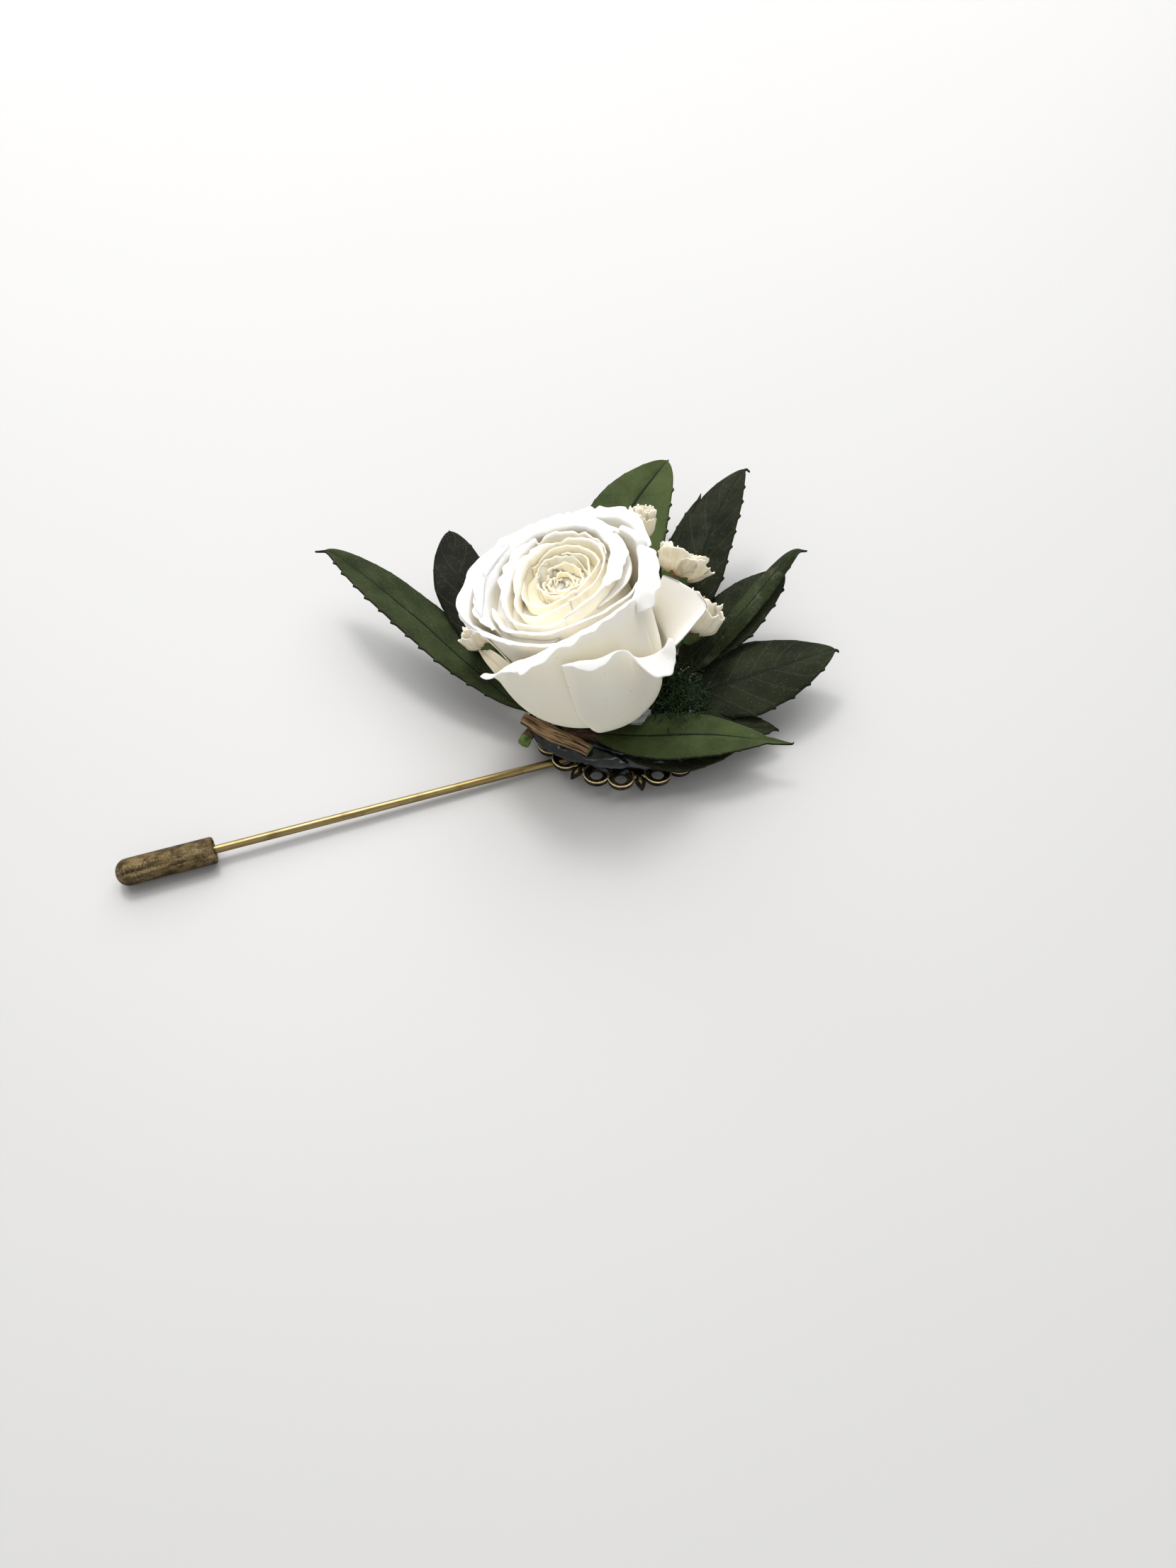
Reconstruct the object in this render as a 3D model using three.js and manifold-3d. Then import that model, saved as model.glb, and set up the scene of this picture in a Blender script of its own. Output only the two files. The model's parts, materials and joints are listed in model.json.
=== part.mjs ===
// A rose boutonniere on a lapel pin, lying on its side of the pin as it rests on a table.
// Millimetres, +Z up. X runs along the pin, the end cap on the left and the leaf tips on the right.

import * as THREE from 'three';
import { mergeVertices } from 'three/addons/utils/BufferGeometryUtils.js';
import Module from 'manifold-3d';

const wasm = await Module();
wasm.setup();

// Driving dimensions
const GAP = 0.3;
const PIN_DIAMETER = 1.2;
const PIN_HEADING = 18.3;
const PIN_END = new THREE.Vector3(9.15, -2.2, PIN_DIAMETER / 2);
const CAP_MOUTH_DISTANCE = 70.9;
const CAP_DIAMETER = 3.9;
const CAP_LENGTH = 13.6;
const CAP_TIP_RADIUS = 1.5;
const CAP_BORE_DIAMETER = 3.2;
const CAP_BORE_DEPTH = 11.6;
const LINER_LENGTH = 8;
const PIN_IN_CAP = 10;
const PIN_POINT_LENGTH = 3;

const TRAY_RADIUS = 15;
const TRAY_TILT = 4.68;
const TRAY_SHEET = 0.8;
const CUP_INNER_RADIUS = 10;
const CUP_WALL = 0.5;
const CUP_HEIGHT = 1.5;
const LACE_REPEATS = 9;
const LACE_START = -102;
const SCALLOP_HALF_PITCH = 8;
const SCALLOP_RADIUS = 2.05;
const SCALLOP_HOLE_RADIUS = 0.7;
const POINT_RADIUS = 15.2;
const POINT_HALF_ANGLE = 7;

const ROSE_BASE = new THREE.Vector3(-4.5, 2.5, 5);
const ROSE_LEAN = 12;
const RIM_TILT = 0.26;
const PETAL_THICKNESS = 0.44;
const PETAL_FOOT_RADIUS = 2.9;
const PETAL_FOOT_HEIGHT = 1.6;
const PETAL_FOOT_STEP = 0.76;
const PETAL_FOOT_SHRINK = 0.12;
const PETAL_FOOT_SPREAD = 0.45;
const PETAL_WIDENING = 1.4;
const PETAL_ROWS = 9;
const BOWL_DEPTH = 6.5;
const RECEPTACLE_RADIUS = 2.3;
const RECEPTACLE_HEIGHT = 5.4;

const LEAF_THICKNESS = 0.36;
const LEAF_FOLD = 0.12;
const LEAF_TIP_HALF_WIDTH = 0.15;
const LEAF_COLUMNS = 4;
const LEAF_ROWS = 14;
const PETIOLE_WIDTH = 1.1;
const PETIOLE_SHARE = 0.12;
const BUD_STEM_RADIUS = 0.45;
const CALYX_LENGTH = 1.8;

const GLUE_RADIUS = 11.2;
const GLUE_HEIGHT = 3;
const SPILL_HALF_SIZES = [8.5, 3.6, 1.9];
const SPILL_PLACE = [-7.2, -9.2, 2.4];
const SPILL_TURN = -24;

const COLOURS = {
  petal: [0xf4f1ea, 0.75, 0],
  leaf: [0x23291f, 0.6, 0],
  budPetal: [0xe6dfcd, 0.75, 0],
  calyx: [0x2b4a28, 0.65, 0],
  twig: [0x8a6a48, 0.8, 0],
  glue: [0x8d959e, 0.2, 0],
  antiqueBrass: [0x8f7a45, 0.42, 1],
  brightBrass: [0xb59a5a, 0.3, 1],
  bronze: [0x5a5138, 0.45, 1],
  liner: [0x1c1c1c, 0.8, 0],
};

const radians = THREE.MathUtils.degToRad;
const lerp = THREE.MathUtils.lerp;
const point = (x, y, z) => new THREE.Vector3(x, y, z);
const pointsOf = (path) => path.map((p) => point(...p));

function addMesh(group, name, geometry, finish) {
  const [color, roughness, metalness] = COLOURS[finish];
  const mesh = new THREE.Mesh(geometry, new THREE.MeshStandardMaterial({ color, roughness, metalness }));
  mesh.name = name;
  group.add(mesh);
  return mesh;
}

// Solids for booleans
function toSolid(geometry) {
  const bare = geometry.clone();
  bare.deleteAttribute('normal');
  bare.deleteAttribute('uv');
  const merged = mergeVertices(bare, 1e-5);
  const vertProperties = new Float32Array(merged.attributes.position.array);
  const triVerts = new Uint32Array(merged.index.array);
  return new wasm.Manifold(new wasm.Mesh({ numProp: 3, vertProperties, triVerts }));
}

function toGeometry(solid) {
  const mesh = solid.getMesh();
  const geometry = new THREE.BufferGeometry();
  geometry.setAttribute('position', new THREE.BufferAttribute(mesh.vertProperties, 3));
  geometry.setIndex(new THREE.BufferAttribute(mesh.triVerts, 1));
  return geometry;
}

// A thin closed sheet over a grid: place(s, t) is its middle surface, s from -1 to 1, t from 0 to 1
function sheetGeometry(columns, rows, place, halfThickness) {
  const step = 1e-3;
  const faces = [[], []];
  for (let row = 0; row <= rows; row += 1) {
    for (let column = 0; column <= columns; column += 1) {
      const s = (2 * column) / columns - 1;
      const t = row / rows;
      const middle = place(s, t);
      const across = place(s + step, t).sub(place(s - step, t));
      const along = place(s, Math.min(1, t + step)).sub(place(s, Math.max(0, t - step)));
      const normal = across.cross(along).setLength(halfThickness);
      faces[0].push(middle.clone().add(normal));
      faces[1].push(middle.clone().sub(normal));
    }
  }
  const width = columns + 1;
  const count = width * (rows + 1);
  const index = [];
  const quad = (a, b, c, d) => index.push(a, b, c, a, c, d);
  for (let row = 0; row < rows; row += 1) {
    for (let column = 0; column < columns; column += 1) {
      const corner = row * width + column;
      quad(corner, corner + 1, corner + width + 1, corner + width);
      quad(count + corner, count + corner + width, count + corner + width + 1, count + corner + 1);
    }
  }
  const border = [];
  for (let column = 0; column < columns; column += 1) border.push(column);
  for (let row = 0; row < rows; row += 1) border.push(row * width + columns);
  for (let column = columns; column > 0; column -= 1) border.push(rows * width + column);
  for (let row = rows; row > 0; row -= 1) border.push(row * width);
  border.forEach((start, i) => {
    const end = border[(i + 1) % border.length];
    quad(start, count + start, count + end, end);
  });
  const geometry = new THREE.BufferGeometry().setFromPoints([...faces[0], ...faces[1]]);
  geometry.setIndex(index);
  return geometry;
}

// A round rod along a path, grown by `grow` all round and past its first point
function rodGeometry(points, radius, grow = 0, sides = 8, steps = 8) {
  const path = new THREE.CatmullRomCurve3(lengthened(points, grow));
  const circle = new THREE.Shape().absarc(0, 0, radius + grow, 0, 2 * Math.PI);
  const options = { steps, bevelEnabled: false, extrudePath: path, curveSegments: sides / 2 };
  return new THREE.ExtrudeGeometry(circle, options);
}

function lengthened(points, grow) {
  if (grow === 0) return points;
  const back = points[0].clone().sub(points[1]).setLength(grow);
  return [points[0].clone().add(back), ...points.slice(1)];
}

// A turned solid, its profile given as [radius, height] pairs, standing along +Z
function turnedGeometry(profile, sides) {
  const geometry = new THREE.LatheGeometry(profile.map(([r, z]) => new THREE.Vector2(r, z)), sides);
  return geometry.rotateX(Math.PI / 2);
}

// The pin: a straight wire under the tray, descending slightly to its far end
const pinSlope = Math.asin((CAP_DIAMETER - PIN_DIAMETER) / 2 / CAP_MOUTH_DISTANCE);
const pinDirection = point(
  Math.cos(radians(PIN_HEADING)) * Math.cos(pinSlope),
  Math.sin(radians(PIN_HEADING)) * Math.cos(pinSlope),
  -Math.sin(pinSlope),
);

function alongPin(distance) {
  return PIN_END.clone().addScaledVector(pinDirection, -distance);
}

function standOnPin(mesh, distance) {
  mesh.quaternion.setFromUnitVectors(point(0, 0, 1), pinDirection.clone().negate());
  mesh.position.copy(alongPin(distance));
}

function buildPin(group) {
  const radius = PIN_DIAMETER / 2;
  const length = CAP_MOUTH_DISTANCE + PIN_IN_CAP;
  const shoulder = length - PIN_POINT_LENGTH;
  const tip = 0.12;
  const cutEnd = [[0, 0], [radius - tip, 0], [radius, tip]];
  const pointEnd = [[radius, shoulder], [tip, length], [0, length]];
  const wire = turnedGeometry([...cutEnd, ...pointEnd], 16);
  standOnPin(addMesh(group, 'pin_wire', wire, 'brightBrass'), 0);
}

function buildCap(group) {
  const radius = CAP_DIAMETER / 2;
  const bore = CAP_BORE_DIAMETER / 2;
  const lip = 0.25;
  const profile = [[0, CAP_BORE_DEPTH], [bore, CAP_BORE_DEPTH], [bore, lip], [radius - lip, 0]];
  profile.push([radius, lip], [radius, CAP_LENGTH - CAP_TIP_RADIUS]);
  const arcSteps = 4;
  for (let i = 1; i <= arcSteps; i += 1) {
    const turn = (i / arcSteps) * (Math.PI / 2);
    const z = CAP_LENGTH - CAP_TIP_RADIUS * (1 - Math.sin(turn));
    profile.push([Math.max(0, radius - CAP_TIP_RADIUS * 1.3 * (1 - Math.cos(turn))), z]);
  }
  profile[profile.length - 1][0] = 0;
  standOnPin(addMesh(group, 'pin_cap', turnedGeometry(profile, 20), 'bronze'), CAP_MOUTH_DISTANCE);
  const outer = bore - GAP;
  const inner = PIN_DIAMETER / 2 + GAP;
  const start = 1.2;
  const end = start + LINER_LENGTH;
  const ring = [[inner, start], [outer, start], [outer, end], [inner, end], [inner, start]];
  standOnPin(addMesh(group, 'cap_liner', turnedGeometry(ring, 16), 'liner'), CAP_MOUTH_DISTANCE);
}

// The tray's own frame: its underside is z = 0, tilted back about the pin until its rear edge rests
const trayGroup = new THREE.Group();

function placeTray() {
  const tilt = radians(TRAY_TILT);
  const heading = radians(PIN_HEADING);
  const backward = point(-Math.sin(heading), Math.cos(heading), -Math.tan(tilt));
  const normal = pinDirection.clone().cross(backward).normalize();
  const side = point(1, 0, 0).addScaledVector(normal, -normal.x).normalize();
  const ahead = normal.clone().cross(side);
  trayGroup.quaternion.setFromRotationMatrix(new THREE.Matrix4().makeBasis(side, ahead, normal));
  const onPlane = PIN_END.clone().addScaledVector(normal, PIN_DIAMETER / 2 + GAP);
  const height = onPlane.z + (normal.x * onPlane.x + normal.y * onPlane.y) / normal.z;
  trayGroup.position.set(0, 0, height);
  trayGroup.updateMatrixWorld(true);
}

// Distance from the tray's centre to its lace edge at an angle from the middle of a pair of scallops
function laceEdge(angle) {
  const centre = TRAY_RADIUS - SCALLOP_RADIUS;
  const off = radians(Math.abs(angle) - SCALLOP_HALF_PITCH);
  const reach = SCALLOP_RADIUS ** 2 - (centre * Math.sin(off)) ** 2;
  const scallop = reach > 0 ? centre * Math.cos(off) + Math.sqrt(reach) : 0;
  const toPoint = 180 / LACE_REPEATS - Math.abs(angle);
  const motif = POINT_RADIUS - (toPoint / POINT_HALF_ANGLE) * SCALLOP_RADIUS;
  return Math.max(scallop, motif, centre);
}

function laceOutline() {
  const outline = [];
  const repeat = 360 / LACE_REPEATS;
  const steps = 16;
  for (let i = 0; i < LACE_REPEATS; i += 1) {
    for (let k = 0; k < steps; k += 1) {
      const angle = (k / steps - 0.5) * repeat;
      const edge = laceEdge(angle);
      const turn = radians(LACE_START + i * repeat + angle);
      outline.push(new THREE.Vector2(edge * Math.cos(turn), edge * Math.sin(turn)));
    }
  }
  return outline;
}

function buildTray() {
  const shape = new THREE.Shape(laceOutline());
  const holeReach = TRAY_RADIUS - SCALLOP_RADIUS;
  for (let i = 0; i < LACE_REPEATS; i += 1) {
    for (const side of [-1, 1]) {
      const turn = radians(LACE_START + (i * 360) / LACE_REPEATS + side * SCALLOP_HALF_PITCH);
      const [x, y] = [holeReach * Math.cos(turn), holeReach * Math.sin(turn)];
      const hole = new THREE.Path().absarc(x, y, SCALLOP_HOLE_RADIUS, 0, 2 * Math.PI, true);
      shape.holes.push(hole);
    }
  }
  const options = { depth: TRAY_SHEET, bevelEnabled: false, curveSegments: 4 };
  const plate = new THREE.ExtrudeGeometry(shape, options);
  const outer = CUP_INNER_RADIUS + CUP_WALL;
  const foot = TRAY_SHEET / 2;
  const top = TRAY_SHEET + CUP_HEIGHT;
  const wall = [[CUP_INNER_RADIUS, foot], [outer, foot], [outer, top], [CUP_INNER_RADIUS, top]];
  const cup = turnedGeometry([...wall, wall[0]], 36);
  const tray = toSolid(plate).add(toSolid(cup));
  addMesh(trayGroup, 'lace_tray', toGeometry(tray), 'antiqueBrass');
}

// Two fillets of solder hold the pin against the tray's underside, one on each side of the wire
function buildSolder() {
  const length = 11;
  const inner = PIN_DIAMETER / 2 + GAP;
  const width = 1.2;
  const height = 0.85;
  const toTray = trayGroup.matrixWorld.clone().invert();
  const nearest = alongPin(pinDirection.dot(PIN_END)).applyMatrix4(toTray);
  const direction = pinDirection.clone().transformDirection(toTray);
  const heading = Math.atan2(direction.y, direction.x);
  for (const [name, side] of [['pin_solder_front', -1], ['pin_solder_rear', 1]]) {
    const section = new THREE.Shape();
    section.moveTo(side * inner, -GAP);
    section.lineTo(side * (inner + width), -GAP);
    section.lineTo(side * inner, -GAP - height);
    section.closePath();
    const bar = new THREE.ExtrudeGeometry(section, { depth: length, bevelEnabled: false });
    bar.translate(0, 0, -length / 2);
    bar.rotateX(Math.PI / 2);
    bar.rotateZ(Math.PI / 2);
    const mesh = addMesh(trayGroup, name, bar, 'brightBrass');
    mesh.rotation.z = heading;
    mesh.position.set(nearest.x, nearest.y, 0);
  }
}

// The rose: petals on a short receptacle, each a curved shell, in rings from the outside inwards.
// Each line gives ring, azimuths from and to in degrees, radius at both ends, height of the rim at the
// start, middle and end, and how far the rim flares out at both ends.
const petal = (name, ring, from, to, radius, top, flare) => ({ name, ring, from, to, radius, top, flare });
const PETALS = [
  petal('petal_front', 0, -97, -16, [12.7, 12.4], [18.6, 17.6, 13.6], [0.4, 1.9]),
  petal('petal_right', 0, -12, 37, [12.6, 12.6], [12.6, 14.2, 12], [2.6, 5.6]),
  petal('petal_back', 0, 42, 106, [12.4, 12.4], [20.6, 21.4, 20], [4.2, 4]),
  petal('petal_left', 0, 110, 200, [12.4, 12.4], [19.2, 19.4, 17.6], [2.4, 3]),
  petal('petal_left_front', 1, 208, 344, [12.3, 10.1], [13, 22.4, 22], [2.8, 0.3]),
  petal('petal_right_roll', 1, -25, 50, [11.3, 11.2], [20, 22, 21], [2, 2.4]),
  petal('petal_left_back', 1, 56, 200, [11.2, 11.2], [20, 20.5, 18.5], [1.6, 1.4]),
  petal('petal_mid_1', 2, -62, 55, [8.7, 9.9], [19, 19.5, 19], [0.3, 0.8]),
  petal('petal_mid_2', 2, 60, 172, [9.9, 9.9], [20, 20.5, 20], [1, 0.8]),
  petal('petal_mid_3', 2, 178, 292, [9.9, 9], [20, 21, 20], [1.2, 0.4]),
  petal('petal_inner_1', 3, 0, 115, [8.4, 8.5], [18, 19, 19], [0.3, 0.3]),
  petal('petal_inner_2', 3, 120, 235, [8.5, 8.3], [19.5, 20.5, 20], [0.3, 0.3]),
  petal('petal_inner_3', 3, 240, 355, [7.9, 7.7], [19, 19.5, 18.5], [0.2, 0.2]),
  petal('petal_whorl_1', 4, -70, 95, [6.5, 7], [18.5, 19.5, 19], [0, 0]),
  petal('petal_whorl_2', 4, 105, 280, [7, 6.6], [19, 19.5, 19], [0, 0]),
  petal('petal_whorl_3', 5, 10, 185, [5.4, 5.6], [18.5, 19.5, 18.5], [0, 0]),
  petal('petal_whorl_4', 5, 198, 358, [5.5, 5.2], [18, 19, 18.5], [0, 0]),
  petal('petal_centre_1', 6, -90, 80, [3.7, 4], [17.5, 18.5, 18], [0, 0]),
  petal('petal_centre_2', 6, 105, 250, [4, 3.8], [17, 18, 17.5], [0, 0]),
];

const BOWL_SHARE = 0.45;
const DEGREES_PER_COLUMN = 17;

function petalPoint({ ring, from, to, radius, top, flare }, s, t) {
  const share = (s + 1) / 2;
  const bowl = lerp(radius[0], radius[1], share);
  const foot = PETAL_FOOT_HEIGHT + PETAL_FOOT_STEP * ring;
  const footRadius = PETAL_FOOT_RADIUS - PETAL_FOOT_SHRINK * ring;
  const spread = Math.min(1, PETAL_FOOT_SPREAD + PETAL_WIDENING * t);
  const middleAngle = (from + to) / 2;
  const halfSpan = (to - from) / 2;
  const angle = radians(middleAngle + halfSpan * s * spread);
  let r = bowl;
  let z = foot + BOWL_DEPTH;
  if (t < BOWL_SHARE) {
    const turn = ((t / BOWL_SHARE) * Math.PI) / 2;
    r = footRadius + (bowl - footRadius) * Math.sin(turn);
    z = foot + BOWL_DEPTH * (1 - Math.cos(turn));
  } else {
    const climb = (t - BOWL_SHARE) / (1 - BOWL_SHARE);
    const tilt = ring > 1 ? RIM_TILT * bowl * Math.cos(radians(middleAngle + halfSpan * s)) : 0;
    const crest = top[1] - (top[0] + top[2]) / 2;
    const rim = lerp(top[0], top[2], share) + crest * (1 - s * s) + tilt;
    r = bowl + lerp(flare[0], flare[1], share) * climb * climb;
    z = lerp(foot + BOWL_DEPTH, rim, climb);
  }
  return point(r * Math.cos(angle), r * Math.sin(angle), z);
}

const roseGroup = new THREE.Group();
const roseLean = new THREE.Matrix4().makeShear(0, 0, 0, 0, -Math.tan(radians(ROSE_LEAN)), 0);

function buildRose() {
  roseGroup.position.copy(ROSE_BASE);
  roseGroup.updateMatrixWorld(true);
  for (const one of PETALS) {
    const columns = Math.max(6, Math.round((one.to - one.from) / DEGREES_PER_COLUMN));
    const place = (s, t) => petalPoint(one, s, t);
    const shell = sheetGeometry(columns, PETAL_ROWS, place, PETAL_THICKNESS / 2).applyMatrix4(roseLean);
    addMesh(roseGroup, one.name, shell, 'petal');
  }
  addMesh(roseGroup, 'rose_receptacle', receptacleGeometry(0), 'calyx');
}

function receptacleGeometry(grow) {
  const radius = RECEPTACLE_RADIUS + grow;
  const bottom = -1.4 - grow;
  const top = RECEPTACLE_HEIGHT;
  const profile = [[0, bottom], [radius * 0.8, bottom], [radius, 0], [radius * 0.9, 3.2], [0, top]];
  return turnedGeometry(profile, 14).applyMatrix4(roseLean);
}

// Leaves: a petiole rooted in the glue, then a blade along a curved midrib, folded a little along it.
// Each has its blade's full width, the roll of the blade about its midrib, and points from root to tip.
const leaf = (name, width, roll, ...path) => ({ name, width, roll, path });
const LEAVES = [
  leaf('leaf_left_long', 7.4, 8, [-8.6, -3, 4.7], [-15, -1.8, 5], [-22, 3.5, 6.3], [-31, 11.5, 9],
    [-40, 19, 10.8], [-48.6, 25.2, 10.8]),
  leaf('leaf_left_back', 8.2, 0, [-8.6, 3.3, 4.9], [-14, 5.5, 5.6], [-20.4, 10.2, 8], [-25, 18.4, 10.8],
    [-27.8, 29.3, 11]),
  leaf('leaf_back', 11.4, 0, [-3, 8, 4.9], [-2.6, 16, 6.5], [-1.6, 26, 8.4], [1.5, 35.4, 10.2],
    [7.6, 44.7, 12]),
  leaf('leaf_back_right', 7.6, 0, [4.2, 6.9, 4.9], [7.8, 12.5, 7.3], [10.7, 18.5, 9.5], [13, 26, 12],
    [16, 33.5, 13.6], [19.9, 39.6, 14]),
  leaf('leaf_back_under', 6, 0, [1.9, 7.4, 4.2], [5, 15, 4.9], [8.6, 26, 6.6], [13, 41, 8]),
  leaf('leaf_right_narrow', 3.6, 0, [7, 3, 5.2], [11, 5.5, 6.3], [14.3, 9.2, 7.9], [19.2, 14.2, 10.8],
    [24, 19, 12.8], [27.8, 22.4, 13.7]),
  leaf('leaf_right_back', 8, 0, [6.2, 4.9, 4.2], [12, 10, 6], [17.5, 14, 8], [21.5, 17, 9.2],
    [25, 19.8, 9.8]),
  leaf('leaf_right_broad', 11.6, 0, [7, 1.2, 4.2], [13, 1.8, 5.2], [21, 3.5, 6.9], [27, 5.2, 7.5],
    [32.2, 7, 7.5]),
  leaf('leaf_right_small', 5, 0, [7.8, -2.6, 4.9], [14, -4, 4.4], [18, -4.6, 4.1], [22.6, -5, 4]),
  leaf('leaf_front', 7.6, 0, [-9.3, -6.4, 6.3], [-4.5, -7.7, 6.4], [3, -8.6, 6.6], [10.5, -8.6, 6.8],
    [17.5, -8.8, 6.4], [24.2, -9, 6]),
  leaf('leaf_front_under', 4.6, 0, [-3, -10.2, 5.2], [3, -10.9, 5.1], [9, -10.7, 5], [16.8, -8.9, 4.9]),
];

// Blade half width along the leaf as a share of its greatest, petiole first: a sine arch that is
// widest a little before its middle and fuller than a plain arch
function bladeShare(t) {
  if (t < PETIOLE_SHARE) return 0;
  const alongBlade = (t - PETIOLE_SHARE) / (1 - PETIOLE_SHARE);
  const skew = 0.85;
  const fullness = 0.8;
  return Math.sin(Math.PI * alongBlade ** skew) ** fullness;
}

function leafGeometry({ width, roll, path }, grow) {
  const midrib = new THREE.CatmullRomCurve3(lengthened(pointsOf(path), grow));
  const place = (s, t) => {
    const centre = midrib.getPointAt(t);
    const along = midrib.getTangentAt(t);
    const side = along.clone().cross(point(0, 0, 1)).normalize();
    const up = side.clone().cross(along);
    side.applyAxisAngle(along, radians(roll));
    up.applyAxisAngle(along, radians(roll));
    const petiole = lerp(PETIOLE_WIDTH / 2, LEAF_TIP_HALF_WIDTH, t);
    const half = Math.max(petiole, (width / 2) * bladeShare(t)) + grow;
    return centre.addScaledVector(side, s * half).addScaledVector(up, Math.abs(s) * half * LEAF_FOLD);
  };
  return sheetGeometry(LEAF_COLUMNS, LEAF_ROWS, place, LEAF_THICKNESS / 2 + grow);
}

function buildLeaves(group) {
  for (const one of LEAVES) {
    addMesh(group, one.name, leafGeometry(one, 0), 'leaf');
  }
}

// Small cream buds on thin stems, given by radius, length, the point the bud aims at, and the stem
// from its root in the glue up to the bud's foot
const bud = (name, radius, length, aim, ...stem) => ({ name, radius, length, aim, stem });
const BUDS = [
  bud('bud_back', 2.5, 5.8, [3.2, 26.6, 20.6], [0.4, 8.2, 5], [0.8, 15, 9.2], [2, 21.8, 15.2]),
  bud('bud_right_upper', 3.3, 7.2, [9.8, 17.4, 16.2], [2.6, 7.7, 5.2], [4, 11.8, 8], [5.6, 15.8, 12.5]),
  bud('bud_right_lower', 3.2, 7, [12, 10.6, 13], [6, 6, 5.2], [7.8, 7.4, 7.2], [9.4, 8.4, 9.2]),
  bud('bud_left', 2.1, 5.4, [-23, 6.4, 14], [-9, 1, 5.2], [-14, 3.2, 6.8], [-19, 5.8, 9.6]),
];

function buildBud(group, { name, radius, length, aim, stem }) {
  const foot = point(...stem[stem.length - 1]);
  const axis = point(...aim).sub(foot).normalize();
  const turn = new THREE.Quaternion().setFromUnitVectors(point(0, 0, 1), axis);
  const wide = radius * 0.72;
  const neck = [[0, -0.3], [BUD_STEM_RADIUS, -0.3], [wide * 0.7, 0.5]];
  const cup = [...neck, [wide, CALYX_LENGTH], [0, CALYX_LENGTH]];
  const calyx = turnedGeometry(cup, 10).applyQuaternion(turn).translate(foot.x, foot.y, foot.z);
  const stalk = rodGeometry(pointsOf(stem), BUD_STEM_RADIUS);
  addMesh(group, `${name}_calyx`, toGeometry(toSolid(stalk).add(toSolid(calyx))), 'calyx');
  const start = CALYX_LENGTH + GAP;
  const middle = start + (length - start) * 0.45;
  const head = [[0, start], [wide, start], [radius, middle], [radius * 0.85, length - 0.6], [0, length]];
  const mesh = addMesh(group, `${name}_petals`, turnedGeometry(head, 12), 'budPetal');
  mesh.position.copy(foot);
  mesh.quaternion.copy(turn);
}

// A loose cream petal tucked under the rose at the left
const LOOSE_PETAL = leaf('bud_petal_loose', 2.4, -25, [-8.9, -0.9, 5.2], [-13, -1.4, 6], [-17.5, 0.9, 7.2],
  [-23.2, 7.6, 9.3]);

// Two pieces of woody stem laid over the tray's front edge
const twig = (name, radius, ...path) => ({ name, radius, path });
const TWIGS = [
  twig('twig_brown', 1, [-5.4, -10, 4.9], [-8, -8.4, 5], [-11, -6.9, 5.2], [-15.2, -4.3, 5.6]),
  twig('twig_stub', 0.7, [-13.2, -4.6, 3.5], [-14.2, -5.8, 3.4], [-15.3, -7.4, 3.2]),
];

function buildTwigs(group) {
  for (const { name, radius, path } of TWIGS) {
    addMesh(group, name, rodGeometry(pointsOf(path), radius), 'twig');
  }
}

// Glue fills the tray's cup and runs over its front edge, with a pocket for everything set in it
function glueSolid() {
  const floor = TRAY_SHEET + GAP;
  const rim = TRAY_SHEET + CUP_HEIGHT + GAP;
  const cupRadius = CUP_INNER_RADIUS - GAP;
  const top = floor + GLUE_HEIGHT;
  const profile = [[0, floor], [cupRadius, floor], [cupRadius, rim], [GLUE_RADIUS, rim]];
  profile.push([GLUE_RADIUS - 0.4, rim + 0.6], [9, top - 0.3], [6, top], [0, top]);
  const dome = toSolid(turnedGeometry(profile, 32));
  const spill = new THREE.SphereGeometry(1, 20, 12).scale(...SPILL_HALF_SIZES);
  spill.rotateZ(radians(SPILL_TURN)).translate(...SPILL_PLACE);
  const wallInner = CUP_INNER_RADIUS - GAP;
  const wallOuter = CUP_INNER_RADIUS + CUP_WALL + GAP;
  const wall = [[wallInner, 0], [wallOuter, 0], [wallOuter, rim], [wallInner, rim], [wallInner, 0]];
  const plate = turnedGeometry([[0, -4], [20, -4], [20, floor], [0, floor]], 32);
  return dome.add(toSolid(spill)).subtract(toSolid(turnedGeometry(wall, 36))).subtract(toSolid(plate));
}

function pocketGeometries() {
  const pockets = [...LEAVES, LOOSE_PETAL].map((one) => leafGeometry(one, GAP));
  for (const { stem } of BUDS) pockets.push(rodGeometry(pointsOf(stem), BUD_STEM_RADIUS, GAP));
  for (const { path, radius } of TWIGS) {
    const fromTip = lengthened(pointsOf(path), GAP).reverse();
    pockets.push(rodGeometry(fromTip, radius, GAP));
  }
  pockets.push(receptacleGeometry(GAP).applyMatrix4(roseGroup.matrixWorld));
  return pockets;
}

function buildGlue() {
  const toTray = trayGroup.matrixWorld.clone().invert();
  let glue = glueSolid();
  for (const pocket of pocketGeometries()) {
    glue = glue.subtract(toSolid(pocket.applyMatrix4(toTray)));
  }
  const bodies = glue.decompose().sort((a, b) => b.volume() - a.volume());
  addMesh(trayGroup, 'glue_pad', toGeometry(bodies[0]), 'glue');
}

const boutonniere = new THREE.Group();
placeTray();
boutonniere.add(trayGroup, roseGroup);
buildTray();
buildSolder();
buildPin(boutonniere);
buildCap(boutonniere);
buildRose();
buildLeaves(boutonniere);
addMesh(boutonniere, LOOSE_PETAL.name, leafGeometry(LOOSE_PETAL, 0), 'budPetal');
for (const one of BUDS) buildBud(boutonniere, one);
buildTwigs(boutonniere);
buildGlue();

// The origin goes to the middle of the object's box, on the surface that it rests on
const box = new THREE.Box3().setFromObject(boutonniere, true);
const centre = box.getCenter(point(0, 0, 0));
boutonniere.position.set(-centre.x, -centre.y, -box.min.z);

export default boutonniere;
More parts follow.
